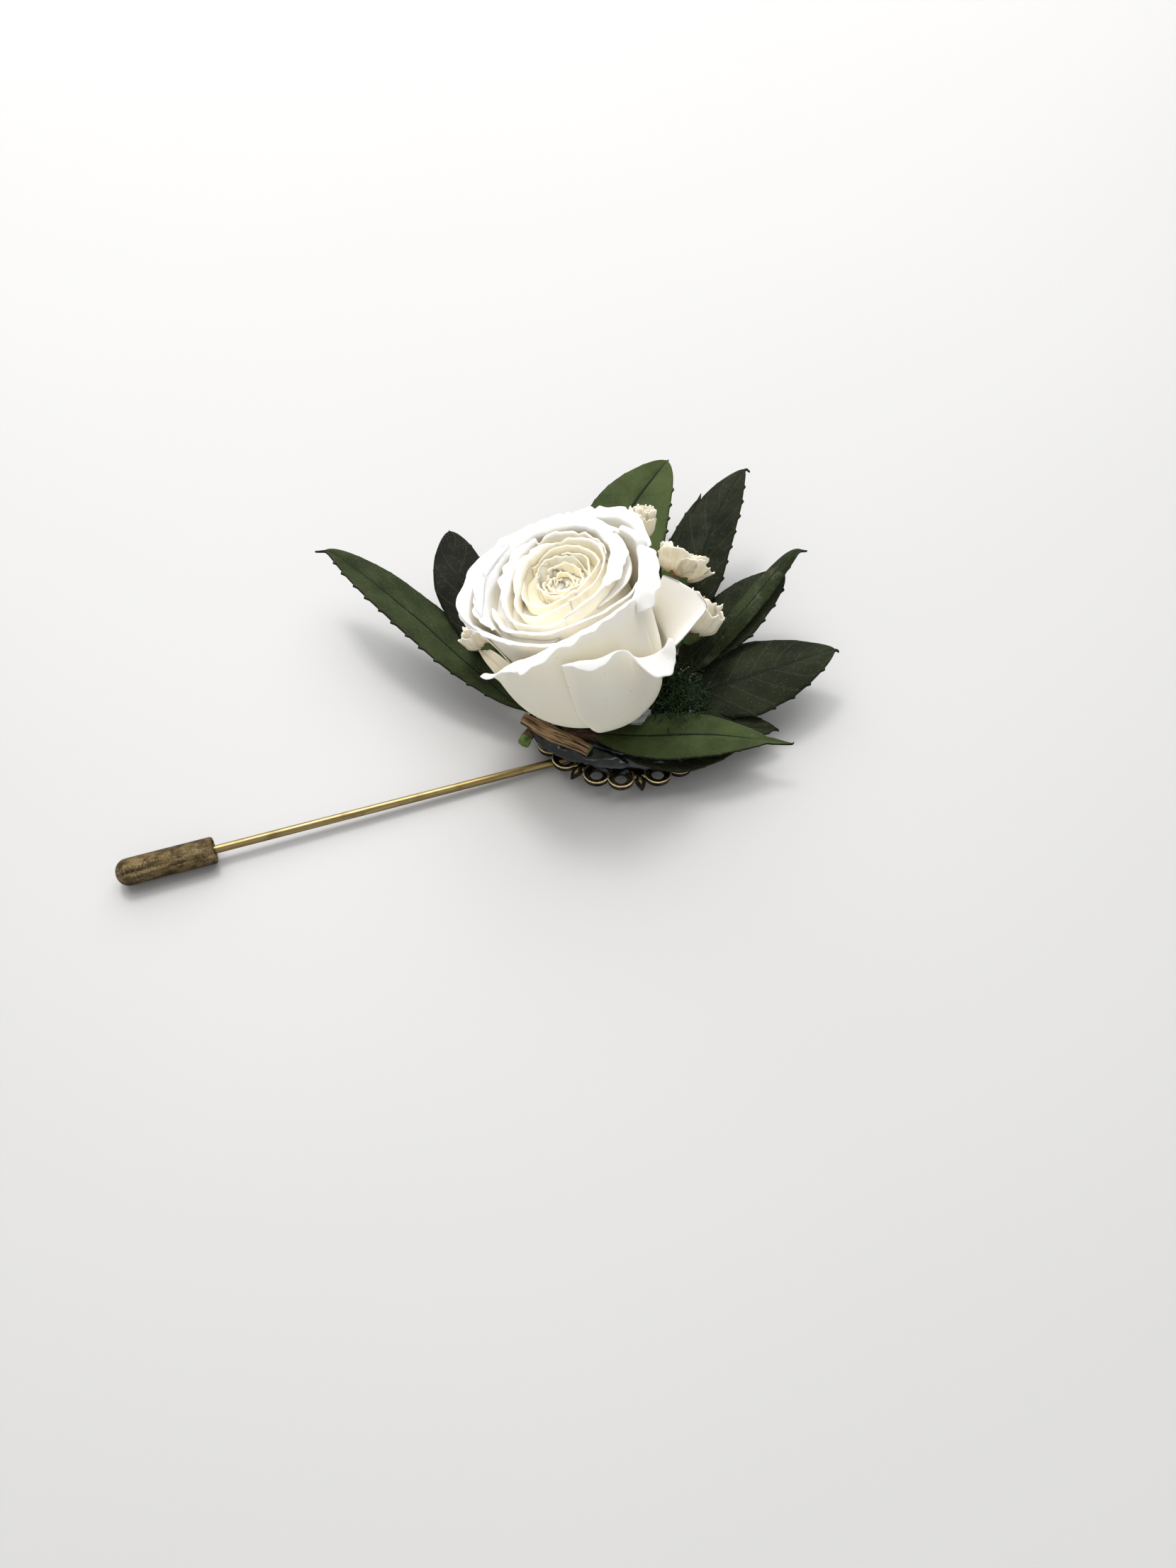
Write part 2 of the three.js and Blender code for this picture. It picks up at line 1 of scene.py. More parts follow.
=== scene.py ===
import json
import math
import random

import bmesh
import bpy
from mathutils import Matrix, Vector, noise


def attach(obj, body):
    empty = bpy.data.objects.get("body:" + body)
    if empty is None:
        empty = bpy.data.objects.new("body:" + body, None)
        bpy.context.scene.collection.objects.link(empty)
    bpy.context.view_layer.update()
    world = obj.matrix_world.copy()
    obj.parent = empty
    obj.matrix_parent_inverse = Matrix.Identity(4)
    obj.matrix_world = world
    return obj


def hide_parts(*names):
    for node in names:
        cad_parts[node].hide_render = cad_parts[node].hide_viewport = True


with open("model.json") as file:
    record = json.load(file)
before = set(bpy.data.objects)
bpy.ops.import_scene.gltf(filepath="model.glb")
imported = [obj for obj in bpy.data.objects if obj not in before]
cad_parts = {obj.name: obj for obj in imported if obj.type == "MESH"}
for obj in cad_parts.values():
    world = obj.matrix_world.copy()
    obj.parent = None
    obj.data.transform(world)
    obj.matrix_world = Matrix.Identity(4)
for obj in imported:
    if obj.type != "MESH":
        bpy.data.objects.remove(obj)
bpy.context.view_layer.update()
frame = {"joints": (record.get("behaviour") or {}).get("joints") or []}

# The pin: one straight piece of drawn brass wire, cut square under the tray and ground to a point
# inside the end cap. It is drawn through a die, so its marks run along it.
MM = 0.001
TRAY_CENTRE = Vector((0.0194659, -0.0073341, 0.0))
PIN_END = Vector((9.15, -2.2, 0.6))
PIN_AXIS = Vector(frame["joints"][0]["axis"])
PIN_HEADING = math.radians(18.3)
PIN_RADIUS = 0.6
PIN_LENGTH = 80.9
PIN_POINT = 3.0


def along_pin(distance):
    """The place of something turned about the pin, its foot that far from the wire's cut end."""
    turn = Vector((0, 0, 1)).rotation_difference(PIN_AXIS).to_matrix().to_4x4()
    return Matrix.Translation(PIN_END + PIN_AXIS * distance) @ turn


def turned(profile, steps=48):
    """A solid turned about Z from (radius, height) pairs that start and end on the axis or meet."""
    mesh = bmesh.new()
    points = [mesh.verts.new((radius, 0, height)) for radius, height in profile]
    edges = [mesh.edges.new(pair) for pair in zip(points, points[1:])]
    bmesh.ops.spin(mesh, geom=points + edges, cent=(0, 0, 0), axis=(0, 0, 1),
                   angle=math.tau, steps=steps, use_merge=True)
    bmesh.ops.remove_doubles(mesh, verts=mesh.verts, dist=1e-4)
    bmesh.ops.recalc_face_normals(mesh, faces=mesh.faces)
    return mesh


def rounded(corner, before, after, radius, steps=4):
    """Points of an arc that rounds a corner of a profile, from the side of before to that of after."""
    corner, before, after = Vector(corner), Vector(before), Vector(after)
    start = corner + (before - corner).normalized() * radius
    end = corner + (after - corner).normalized() * radius
    shares = [step / steps for step in range(steps + 1)]
    return [tuple((1 - s) ** 2 * start + 2 * s * (1 - s) * corner + s * s * end) for s in shares]


def round_z(reach, turn, height=0.0):
    """The point at that reach from the Z axis, turned that far about it, and that high."""
    return Vector((reach * math.cos(turn), reach * math.sin(turn), height))


def as_data(name, mesh):
    """A finished bmesh as mesh data. The bmesh is freed."""
    data = bpy.data.meshes.new(name)
    mesh.to_mesh(data)
    mesh.free()
    return data


def in_scene(name, data):
    """A new object with that data, linked to the scene."""
    made = bpy.data.objects.new(name, data)
    bpy.context.scene.collection.objects.link(made)
    return made


def piece(name, mesh, material, replaced=(), body="root", sharp=40):
    """Puts a finished mesh, made in millimetres about the tray's centre, in the frame as a piece."""
    bmesh.ops.scale(mesh, vec=(MM, MM, MM), verts=mesh.verts)
    bmesh.ops.translate(mesh, vec=TRAY_CENTRE, verts=mesh.verts)
    data = as_data(name, mesh)
    data.shade_smooth()
    data.set_sharp_from_angle(angle=math.radians(sharp))
    data.materials.append(material)
    made = in_scene(name, data)
    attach(made, body)
    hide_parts(*replaced)
    return made


class Value:
    """A shader socket in an expression. Each operator adds the Math node that works it out."""

    def __init__(self, tree, socket):
        self.tree = tree
        self.socket = socket

    def node(self, kind, sockets=(), out=0, **settings):
        """Adds a node, gives it its settings, then its sockets' values or links."""
        made = self.tree.nodes.new("ShaderNode" + kind)
        for name, value in settings.items():
            setattr(made, name, value)
        for name, value in dict(sockets).items():
            if isinstance(value, Value):
                self.tree.links.new(value.socket, made.inputs[name])
            else:
                made.inputs[name].default_value = value
        return Value(self.tree, made.outputs[out])

    def math(self, operation, *values):
        return self.node("Math", enumerate(values), operation=operation)

    def __add__(self, other):
        return self.math("ADD", self, other)

    def __sub__(self, other):
        return self.math("SUBTRACT", self, other)

    def __rsub__(self, other):
        return self.math("SUBTRACT", other, self)

    def __mul__(self, other):
        return self.math("MULTIPLY", self, other)

    def __abs__(self):
        return self.math("ABSOLUTE", self)

    __radd__ = __add__
    __rmul__ = __mul__

    def sine(self):
        return self.math("SINE", self)

    def above(self, low, high):
        """0 below low, 1 above high, smooth between them, or the other way round if low is higher."""
        first, second = (low, high) if low < high else (high, low)
        sockets = {"Value": self, "From Min": first, "From Max": second}
        if low > high:
            sockets |= {"To Min": 1.0, "To Max": 0.0}
        return self.node("MapRange", sockets, interpolation_type="SMOOTHSTEP")

    def mix(self, first, second):
        """This value as the share of the second colour in the first."""
        colours = {0: self, 6: paint(first), 7: paint(second)}
        return self.node("Mix", colours, out=2, data_type="RGBA")

    def stretched(self, x, y, z):
        """This vector with each of its parts multiplied."""
        return self.node("VectorMath", {0: self, 1: (x, y, z)}, operation="MULTIPLY")

    def turned_back(self, angle):
        """This place turned about Z, so that what runs at that angle runs along X."""
        return self.node("Mapping", {"Vector": self, "Rotation": (0, 0, -angle)})

    def noise(self, scale, detail=3.0, roughness=0.55, distortion=0.0):
        sockets = {"Vector": self, "Scale": scale, "Detail": detail, "Roughness": roughness}
        return self.node("TexNoise", {**sockets, "Distortion": distortion})

    def specks(self, scale, size):
        """Scattered small spots, 1 in a spot and 0 between them, size being their share of a cell."""
        cells = self.node("TexVoronoi", {"Vector": self, "Scale": scale, "Randomness": 1.0})
        return cells.above(size, size * 0.5)


def paint(colour):
    """A colour as a socket takes it."""
    return colour if isinstance(colour, Value) else (*colour, 1)


class Finish:
    """A material: its shader's uniform numbers, and the object's own place and UV to read."""

    def __init__(self, title, **uniform):
        self.material = bpy.data.materials.new(title)
        self.material.use_nodes = True
        self.tree = self.material.node_tree
        self.shader = self.tree.nodes["Principled BSDF"]
        self.sockets = {s.name.lower().replace(" ", "_"): s for s in self.shader.inputs}
        for name, value in uniform.items():
            self.sockets[name].default_value = value
        coordinates = self.tree.nodes.new("ShaderNodeTexCoord")
        self.place = Value(self.tree, coordinates.outputs["Object"])
        self.uv = Value(self.tree, coordinates.outputs["UV"])
        parts = self.uv.node("SeparateXYZ", {0: self.uv})
        self.across = parts
        self.along = Value(self.tree, parts.socket.node.outputs[1])

    def attribute(self, name):
        return self.place.node("Attribute", out=2, attribute_name=name)

    def set(self, **varying):
        """Links what changes over the surface to the shader."""
        for name, value in varying.items():
            self.tree.links.new(value.socket, self.sockets[name])

    def bump(self, height, distance, strength=1.0):
        """Raises the surface by height, 0 to 1, times distance in metres."""
        sockets = {"Height": height, "Distance": distance, "Strength": strength}
        self.set(normal=height.node("Bump", sockets))


def drawn_brass():
    """Satin brass with fine marks along the wire and a few dull patches."""
    finish = Finish("drawn_brass", metallic=1.0)
    marks = finish.place.turned_back(PIN_HEADING).stretched(60, 2500, 2500).noise(1.0, detail=4.0)
    patches = finish.place.noise(260.0, detail=4.0)
    bright = marks.above(0.35, 0.7).mix((0.224, 0.162, 0.064), (0.385, 0.298, 0.139))
    colour = patches.above(0.52, 0.72).mix(bright, (0.174, 0.137, 0.063))
    finish.set(base_color=colour, roughness=patches * 0.25 + marks * 0.12 + 0.14)
    finish.bump(marks, 0.00002, 0.5)
    return finish.material


def build_wire():
    shoulder = PIN_LENGTH - PIN_POINT
    cut = [(0, 0), *rounded((PIN_RADIUS, 0), (0, 0), (PIN_RADIUS, 1), 0.12), (PIN_RADIUS, 10)]
    point = [(PIN_RADIUS, shoulder - 1), (PIN_RADIUS, shoulder), (0.35, shoulder + 1.6)]
    wire = turned([*cut, *point, (0.1, PIN_LENGTH - 0.1), (0, PIN_LENGTH)], steps=32)
    wire.transform(along_pin(0))
    piece("pin_wire_drawn", wire, drawn_brass(), ["pin_wire"])


build_wire()

# The end cap: a bullet of turned brass with an antique bronze plating that has worn bright along its
# side, bored from the open end, with a soft black sleeve in the bore that grips the pin.
CAP_MOUTH = 70.9
CAP_RADIUS = 1.95
CAP_LENGTH = 13.6
CAP_BORE = 1.6
CAP_BORE_DEPTH = 11.6
CAP_LIP = 0.3
CAP_DOME_HEIGHT = 1.75
SLEEVE_START = 1.2
SLEEVE_END = 9.2
SLEEVE_BORE = 0.9
SLEEVE_RADIUS = 1.3


def antique_bronze():
    """Mottled dark plating with lighter worn spots, rubbed streaks and pin pricks."""
    finish = Finish("antique_bronze", metallic=1.0, coat_roughness=0.3)
    cap = finish.place.turned_back(PIN_HEADING)
    mottle = finish.place.noise(620.0, detail=6.0, roughness=0.65)
    grain = finish.place.noise(3800.0, detail=3.0)
    rubbed = cap.stretched(120, 700, 700).noise(1.0, detail=5.0, roughness=0.6)
    pricks = finish.place.specks(2600.0, 0.22)
    base = mottle.above(0.36, 0.68).mix((0.043, 0.030, 0.015), (0.167, 0.121, 0.059))
    worn = (rubbed * 0.7 + grain * 0.3).above(0.5, 0.68).mix(base, (0.357, 0.270, 0.141))
    finish.set(base_color=pricks.mix(worn, (0.054, 0.043, 0.024)))
    finish.set(roughness=0.52 - rubbed.above(0.45, 0.7) * 0.2 + grain * 0.12)
    finish.bump(mottle * 0.5 + grain * 0.4 + (1 - pricks) * 0.3, 0.00004, 0.6)
    return finish.material


def soft_black():
    """The sleeve's matt black, a little dusty."""
    finish = Finish("soft_black", metallic=0.0)
    dust = finish.place.noise(2200.0, detail=4.0)
    finish.set(base_color=dust.mix((0.018, 0.018, 0.018), (0.090, 0.087, 0.083)), roughness=dust * 0.3 + 0.6)
    finish.bump(dust, 0.00003)
    return finish.material


def build_cap():
    outer = [(CAP_RADIUS, 3), (CAP_RADIUS, CAP_LENGTH - 4), (CAP_RADIUS, CAP_LENGTH - 1.9)]
    dome = [(CAP_RADIUS * math.cos(a), CAP_LENGTH - CAP_DOME_HEIGHT * (1 - math.sin(a)))
            for a in [math.radians(9 * step) for step in range(1, 10)]]
    bore = [(0, CAP_BORE_DEPTH), (CAP_BORE - 0.3, CAP_BORE_DEPTH), (CAP_BORE, CAP_BORE_DEPTH - 0.3)]
    rim = [(CAP_BORE, CAP_LIP), (CAP_BORE + 0.08, 0.06), (CAP_BORE + 0.17, 0), (CAP_RADIUS - 0.1, 0.06)]
    cap = turned([*bore, *rim, (CAP_RADIUS, CAP_LIP), *outer, *dome, (0, CAP_LENGTH)], steps=64)
    cap.transform(along_pin(CAP_MOUTH))
    piece("pin_cap_turned", cap, antique_bronze(), ["pin_cap"], "end_cap")
    start, end = SLEEVE_START, SLEEVE_END
    ring = [(SLEEVE_BORE, start), (SLEEVE_RADIUS, start), (SLEEVE_RADIUS, end), (SLEEVE_BORE, end)]
    sleeve = turned([*ring, ring[0]], steps=32)
    sleeve.transform(along_pin(CAP_MOUTH))
    piece("cap_sleeve", sleeve, soft_black(), ["cap_liner"], "end_cap")


build_cap()

# The tray: a stamped brass disc of 30 mm with a lace edge, plated dark and rubbed back so that the
# raised rims shine. Nine pairs of scallops, each with a row of beads, stand between nine leaf points.
TRAY_TILT = math.radians(4.68)
TRAY_RADIUS = 15.0
LACE_SHEET = 0.5
SOLDER_GAP = 0.3
CUP_RADIUS = 10.0
CUP_WALL = 0.5
CUP_TOP = 2.3
LACE_REPEATS = 9
LACE_START = -102.0
SCALLOP_HALF_PITCH = 8.0
SCALLOP_RADIUS = 2.05
SCALLOP_HOLE = 0.95
HOLE_OUTWARD = 0.12
BEADS = 7
BEAD_RADIUS = 0.21
BEAD_HEIGHT = 0.56
BEAD_SWEEP = math.radians(228)
RIM_TUBE = 0.18
RIM_TOP = 0.74
RIM_SWEEP = math.radians(256)
POINT_REACH = 13.9
POINT_HEIGHT = 0.38
POINT_ROOT = 13.0
# What stands above the first of these heights is rubbed, more so up to the second on top of it.
RUBBED_FROM = 0.52
RUBBED_OVER = 0.42


def tray_place():
    """From the tray's own frame, its underside at z = 0, to where it lies tilted back on the pin."""
    toward = -PIN_AXIS
    backward = Vector((-math.sin(PIN_HEADING), math.cos(PIN_HEADING), -math.tan(TRAY_TILT)))
    normal = toward.cross(backward).normalized()
    side = (Vector((1, 0, 0)) - normal * normal.x).normalized()
    ahead = normal.cross(side)
    on_plane = PIN_END + normal * (PIN_RADIUS + SOLDER_GAP)
    height = on_plane.z + (normal.x * on_plane.x + normal.y * on_plane.y) / normal.z
    turn = Matrix((side, ahead, normal)).transposed().to_4x4()
    return Matrix.Translation((0, 0, height)) @ turn


TRAY_PLACE = tray_place()


def antique_brass():
    """Dark plating in the hollows, rubbed to bare brass on what stands up, given by "raised"."""
    finish = Finish("antique_brass", metallic=1.0)
    raised = finish.attribute("raised")
    mottle = finish.place.noise(900.0, detail=5.0, roughness=0.65)
    grain = finish.place.noise(5200.0, detail=3.0)
    rubbed = (raised + mottle * 0.6 - 0.3).above(0.35, 0.85)
    dark = mottle.above(0.4, 0.75).mix((0.019, 0.015, 0.011), (0.095, 0.072, 0.041))
    bright = grain.above(0.3, 0.7).mix((0.459, 0.365, 0.176), (0.891, 0.756, 0.446))
    finish.set(base_color=rubbed.mix(dark, bright), roughness=0.62 - rubbed * 0.34 + grain * 0.1)
    finish.bump(mottle * 0.6 + grain * 0.4, 0.00005, 0.6)
    return finish.material


def scallop(mesh, centre, outward):
    """One loop of the lace: a raised rim round its outer side, beads inside it, and an open hole."""
    start = len(mesh.verts)
    rim_radius = SCALLOP_RADIUS - RIM_TUBE
    circle = bmesh.ops.create_circle(mesh, segments=10, radius=RIM_TUBE)["verts"]
    upright = Matrix.Rotation(math.pi / 2, 4, "X")
    bmesh.ops.transform(mesh, matrix=Matrix.Translation((rim_radius, 0, RIM_TOP)) @ upright, verts=circle)
    edges = list({edge for vert in circle for edge in vert.link_edges})
    first = Matrix.Rotation(-RIM_SWEEP / 2, 3, "Z")
    bmesh.ops.rotate(mesh, verts=circle, cent=(0, 0, 0), matrix=first)
    bmesh.ops.spin(mesh, geom=circle + edges, cent=(0, 0, 0), axis=(0, 0, 1), angle=RIM_SWEEP, steps=26)
    for bead in range(BEADS):
        turn = BEAD_SWEEP * (bead / (BEADS - 1) - 0.5)
        place = Matrix.Translation(round_z(rim_radius - RIM_TUBE - BEAD_RADIUS - 0.08, turn, BEAD_HEIGHT))
        bmesh.ops.create_icosphere(mesh, subdivisions=2, radius=BEAD_RADIUS, matrix=place)
    mesh.verts.ensure_lookup_table()
    stand = Matrix.Translation(centre) @ Matrix.Rotation(outward, 4, "Z")
    bmesh.ops.transform(mesh, matrix=stand, verts=mesh.verts[start:])


def lace_point(mesh, outward):
    """The small leaf between two pairs of scallops: a ridged, pointed drop with two lobes at its root."""
    start = len(mesh.verts)
    bmesh.ops.create_uvsphere(mesh, u_segments=16, v_segments=10, radius=1)
    mesh.verts.ensure_lookup_table()
    for vert in mesh.verts[start:]:
        reach = vert.co.x
        narrow = 1 - 0.55 * max(0, reach)
        ridge = 1 - 0.45 * min(1, abs(vert.co.y) * 1.6)
        vert.co = Vector((reach * 1.55, vert.co.y * 0.78 * narrow, vert.co.z * 0.55 * narrow * ridge))
    bmesh.ops.translate(mesh, verts=mesh.verts[start:], vec=(POINT_REACH, 0, POINT_HEIGHT))
    for side in (1, -1):
        place = Matrix.Translation((POINT_ROOT, side * 0.62, 0.6)) @ Matrix.Rotation(side * 0.6, 4, "Z")
        bmesh.ops.create_icosphere(mesh, subdivisions=2, radius=0.5,
                                   matrix=place @ Matrix.Diagonal((1.3, 0.5, 0.6, 1)))
    mesh.verts.ensure_lookup_table()
    bmesh.ops.transform(mesh, matrix=Matrix.Rotation(outward, 4, "Z"), verts=mesh.verts[start:])


def lace_floor():
    """The stamped sheet itself, its edge following the scallops."""
    mesh = bmesh.new()
    centre = TRAY_RADIUS - SCALLOP_RADIUS
    repeat = 360 / LACE_REPEATS
    bmesh.ops.create_circle(mesh, cap_ends=True, segments=40 * LACE_REPEATS, radius=1)
    for vert in mesh.verts:
        turn = math.atan2(vert.co.y, vert.co.x)
        angle = (math.degrees(turn) - LACE_START + repeat / 2) % repeat - repeat / 2
        off = math.radians(abs(angle) - SCALLOP_HALF_PITCH)
        reach = (SCALLOP_RADIUS - 0.12) ** 2 - (centre * math.sin(off)) ** 2
        loop = centre * math.cos(off) + math.sqrt(reach) if reach > 0 else 0
        edge = max(loop, centre + 0.1)
        vert.co = round_z(edge, turn)
    plate = bmesh.ops.extrude_face_region(mesh, geom=mesh.faces[:])["geom"]
    top = [item for item in plate if isinstance(item, bmesh.types.BMVert)]
    bmesh.ops.translate(mesh, verts=top, vec=(0, 0, LACE_SHEET))
    bmesh.ops.recalc_face_normals(mesh, faces=mesh.faces)
    return mesh


def joined(mesh, other):
    """Adds another mesh to this one."""
    data = as_data("part", other)
    mesh.from_mesh(data)
    bpy.data.meshes.remove(data)


def cup_wall():
    """The ring that keeps the glue in, turned on the plate."""
    inner, outer = CUP_RADIUS, CUP_RADIUS + CUP_WALL
    edge = [(inner, 0.2), (inner, CUP_TOP - 0.2), (inner + 0.12, CUP_TOP), (outer - 0.12, CUP_TOP)]
    return turned([*edge, (outer, CUP_TOP - 0.2), (outer, 0.2), edge[0]], steps=96)


def punched(mesh):
    """The lace with an open hole through each scallop, cut with round punches."""
    plate = in_scene("plate", as_data("plate", mesh))
    punches = bmesh.new()
    for repeat in range(LACE_REPEATS):
        for side in (-1, 1):
            turn = math.radians(LACE_START + repeat * 360 / LACE_REPEATS + side * SCALLOP_HALF_PITCH)
            place = Matrix.Translation(round_z(TRAY_RADIUS - SCALLOP_RADIUS + HOLE_OUTWARD, turn))
            bmesh.ops.create_cone(punches, cap_ends=True, segments=28, radius1=SCALLOP_HOLE,
                                  radius2=SCALLOP_HOLE, depth=4, matrix=place)
    cutter = in_scene("punches", as_data("punches", punches))
    cut = plate.modifiers.new("holes", "BOOLEAN")
    cut.operation = "DIFFERENCE"
    cut.object = cutter
    cut.solver = "EXACT"
    graph = bpy.context.evaluated_depsgraph_get()
    result = bmesh.new()
    result.from_mesh(plate.evaluated_get(graph).to_mesh())
    for made in (plate, cutter):
        data = made.data
        bpy.data.objects.remove(made)
        bpy.data.meshes.remove(data)
    return result


def build_tray():
    mesh = punched(lace_floor())
    joined(mesh, cup_wall())
    for repeat in range(LACE_REPEATS):
        middle = LACE_START + repeat * 360 / LACE_REPEATS
        for side in (-1, 1):
            outward = math.radians(middle + side * SCALLOP_HALF_PITCH)
            scallop(mesh, round_z(TRAY_RADIUS - SCALLOP_RADIUS, outward), outward)
        lace_point(mesh, math.radians(middle + 180 / LACE_REPEATS))
    raised = mesh.verts.layers.float.new("raised")
    for vert in mesh.verts:
        vert[raised] = min(1, max(0, (vert.co.z - RUBBED_FROM) / RUBBED_OVER)) ** 1.5
    mesh.transform(TRAY_PLACE)
    piece("lace_tray_stamped", mesh, antique_brass(), ["lace_tray"], sharp=50)


build_tray()

# Two fillets of soft solder hold the pin against the back of the tray, one on each side of the wire.
# They are dull and lumpy, drawn up by hand with an iron.
SOLDER_LENGTH = 11.0
SOLDER_HALF_WIDTH = 0.68
SOLDER_HALF_HEIGHT = 0.42
SOLDER_OFFSET = 1.45


def dull_solder():
    """Dull grey brass-coloured solder with soft lumps."""
    finish = Finish("dull_solder", metallic=1.0)
    cloud = finish.place.noise(700.0, detail=5.0)
    colour = cloud.mix((0.405, 0.365, 0.284), (0.783, 0.729, 0.594))
    finish.set(base_color=colour, roughness=cloud * 0.3 + 0.3)
    finish.bump(cloud, 0.0001, 0.7)
    return finish.material


def build_solder():
    material = dull_solder()
    to_tray = TRAY_PLACE.inverted()
    nearest = to_tray @ (PIN_END + PIN_AXIS * -PIN_AXIS.dot(PIN_END))
    along = (to_tray.to_3x3() @ -PIN_AXIS).normalized()
    heading = math.atan2(along.y, along.x)
    for name, side in (("front", -1), ("rear", 1)):
        mesh = bmesh.new()
        bmesh.ops.create_uvsphere(mesh, u_segments=40, v_segments=20, radius=1)
        for vert in mesh.verts:
            wide = SOLDER_HALF_WIDTH + 0.12 * noise.noise(vert.co * 3 + Vector((side, 0, 0)))
            vert.co *= Vector((SOLDER_LENGTH / 2, wide, SOLDER_HALF_HEIGHT))
        turn = Matrix.Rotation(heading, 4, "Z")
        offset = turn @ Vector((0, side * SOLDER_OFFSET, 0))
        place = Matrix.Translation((nearest.x + offset.x, nearest.y + offset.y, -SOLDER_HALF_HEIGHT))
        mesh.transform(TRAY_PLACE @ place @ turn)
        piece(f"solder_{name}", mesh, material, [f"pin_solder_{name}"])


build_solder()

# The glue: a clear hot glue that fills the cup, runs over the front of the lace and sets glossy. Over
# the dark tray it looks blue-grey, with milky patches where it is thick.
GLUE_RADIUS = 11.2
GLUE_TOP = 4.1
# Glue between these heights above the table, in metres, goes from blue-grey to pale.
PALE_HEIGHTS = (0.0062, 0.0074)
# Pools on the tray, in its own frame, then separate dabs and runs: the middle of each, its turn in
# degrees, and its half sizes.
GLUE_POOLS = (((-6.6, -8.4, 2.4), -24, (8.0, 3.1, 1.2)), ((1.6, -9.4, 2.2), -8, (8.2, 2.9, 1.3)))
GLUE_DABS = (
    ((0.9, -5.8, 7.7), 0, (1.8, 0.9, 0.9)), ((2.5, -4.9, 7.9), 20, (1.0, 0.7, 0.7)),
    ((-4.0, -11.8, 4.0), -31, (1.5, 0.32, 0.42)), ((-0.4, -12.1, 3.4), 10, (0.7, 0.4, 0.4)),
)


def clear_glue():
    """Glossy glue, dark where the tray shows through and milky in its thick folds."""
    finish = Finish("clear_glue", coat_weight=0.8, coat_roughness=0.03, specular_ior_level=0.15)
    cloud = finish.place.noise(330.0, detail=4.0, roughness=0.5, distortion=0.6)
    fine = finish.place.noise(1500.0, detail=3.0)
    height = finish.place.node("SeparateXYZ", {0: finish.place}, out=2)
    deep = cloud.above(0.45, 0.65).mix((0.003, 0.005, 0.006), (0.015, 0.024, 0.029))
    milky = (cloud * 0.7 + fine * 0.3).above(0.62, 0.72).mix(deep, (0.093, 0.106, 0.111))
    finish.set(base_color=height.above(*PALE_HEIGHTS).mix(milky, (0.230, 0.238, 0.238)))
    finish.set(roughness=fine * 0.1 + 0.03)
    finish.bump(cloud * 0.95 + fine * 0.05, 0.0006, 0.12)
    return finish.material


def lying(place, turn, half_sizes):
    """Where a lump lies: its middle, its turn about Z in degrees, and its half sizes."""
    turned_by = Matrix.Rotation(math.radians(turn), 4, "Z")
    return Matrix.Translation(place) @ turned_by @ Matrix.Diagonal((*half_sizes, 1))


def build_glue():
    foot = [(0, 1.2), (9.6, 1.2), (9.6, 2.4), (GLUE_RADIUS - 0.3, 2.35)]
    edge = [(GLUE_RADIUS, 2.6), (GLUE_RADIUS - 0.1, 3.0), (10.4, 3.6), (9, 3.9), (6, GLUE_TOP)]
    mesh = turned([*foot, *edge, (0, GLUE_TOP)], steps=72)
    bmesh.ops.subdivide_edges(mesh, edges=[e for e in mesh.edges if e.calc_length() > 1.2], cuts=2,
                              use_grid_fill=True)
    for pool in GLUE_POOLS:
        bmesh.ops.create_uvsphere(mesh, u_segments=72, v_segments=36, radius=1, matrix=lying(*pool))
    for vert in mesh.verts:
        lump = noise.noise(vert.co * 0.45) * 0.35 + noise.noise(vert.co * 1.1) * 0.2
        vert.co += Vector((lump * 0.4, lump * 0.4, lump if vert.co.z > 1.4 else 0))
    mesh.transform(TRAY_PLACE)
    for dab in GLUE_DABS:
        for vert in bmesh.ops.create_icosphere(mesh, subdivisions=4, radius=1)["verts"]:
            lump = noise.noise(vert.co * 2 + Vector(dab[0]))
            vert.co = lying(*dab) @ (vert.co * (1 + 0.3 * lump))
    piece("glue_set", mesh, clear_glue(), ["glue_pad"], sharp=180)


build_glue()

# Two bits of woody stem lie over the tray's front edge in the glue. The bark is brown and fibrous,
# split lengthwise, and the cut ends show pale green wood.
TWIG_BROWN = [(-5.4, -10, 5.6), (-8, -8.4, 5.6), (-11, -6.9, 5.6), (-15.2, -4.3, 5.8)]
TWIG_FORK = [(-9.6, -7.4, 5.6), (-7.8, -7.3, 6.0), (-5.6, -7.6, 6.1), (-3.4, -8.2, 5.9)]
TWIG_STUB = [(-13.2, -4.2, 3.6), (-14.4, -5.6, 3.7), (-15.2, -7.3, 3.6)]
# The share of a stem's rows at each end that closes it.
STEM_END = 0.012


def curve(points, share):
    """The point at that share of a smooth curve through the points, counted in spans."""
    spans = len(points) - 1
    place = min(max(share, 0), 1) * spans
    span = min(int(place), spans - 1)
    part = place - span
    first, second = points[span], points[span + 1]
    before = points[span - 1] if span else 2 * first - second
    after = points[span + 2] if span + 2 <= spans else 2 * second - first
    bend = 2 * before - 5 * first + 4 * second - after
    twist = after - before + 3 * (first - second)
    return 0.5 * (2 * first + (second - before) * part + bend * part ** 2 + twist * part ** 3)


def route(points, samples=160):
    """A function from a share of a smooth curve's length to its point and its direction there."""
    places = [curve([Vector(p) for p in points], i / samples) for i in range(samples + 1)]
    reached = [0.0]
    for first, second in zip(places, places[1:]):
        reached.append(reached[-1] + (second - first).length)

    def at(share):
        target = min(max(share, 0), 1) * reached[-1]
        index = next((i for i in range(1, samples + 1) if reached[i] >= target), samples)
        part = (target - reached[index - 1]) / (reached[index] - reached[index - 1])
        step = places[index] - places[index - 1]
        return places[index - 1] + step * part, step.normalized()

    at.length = reached[-1]
    return at


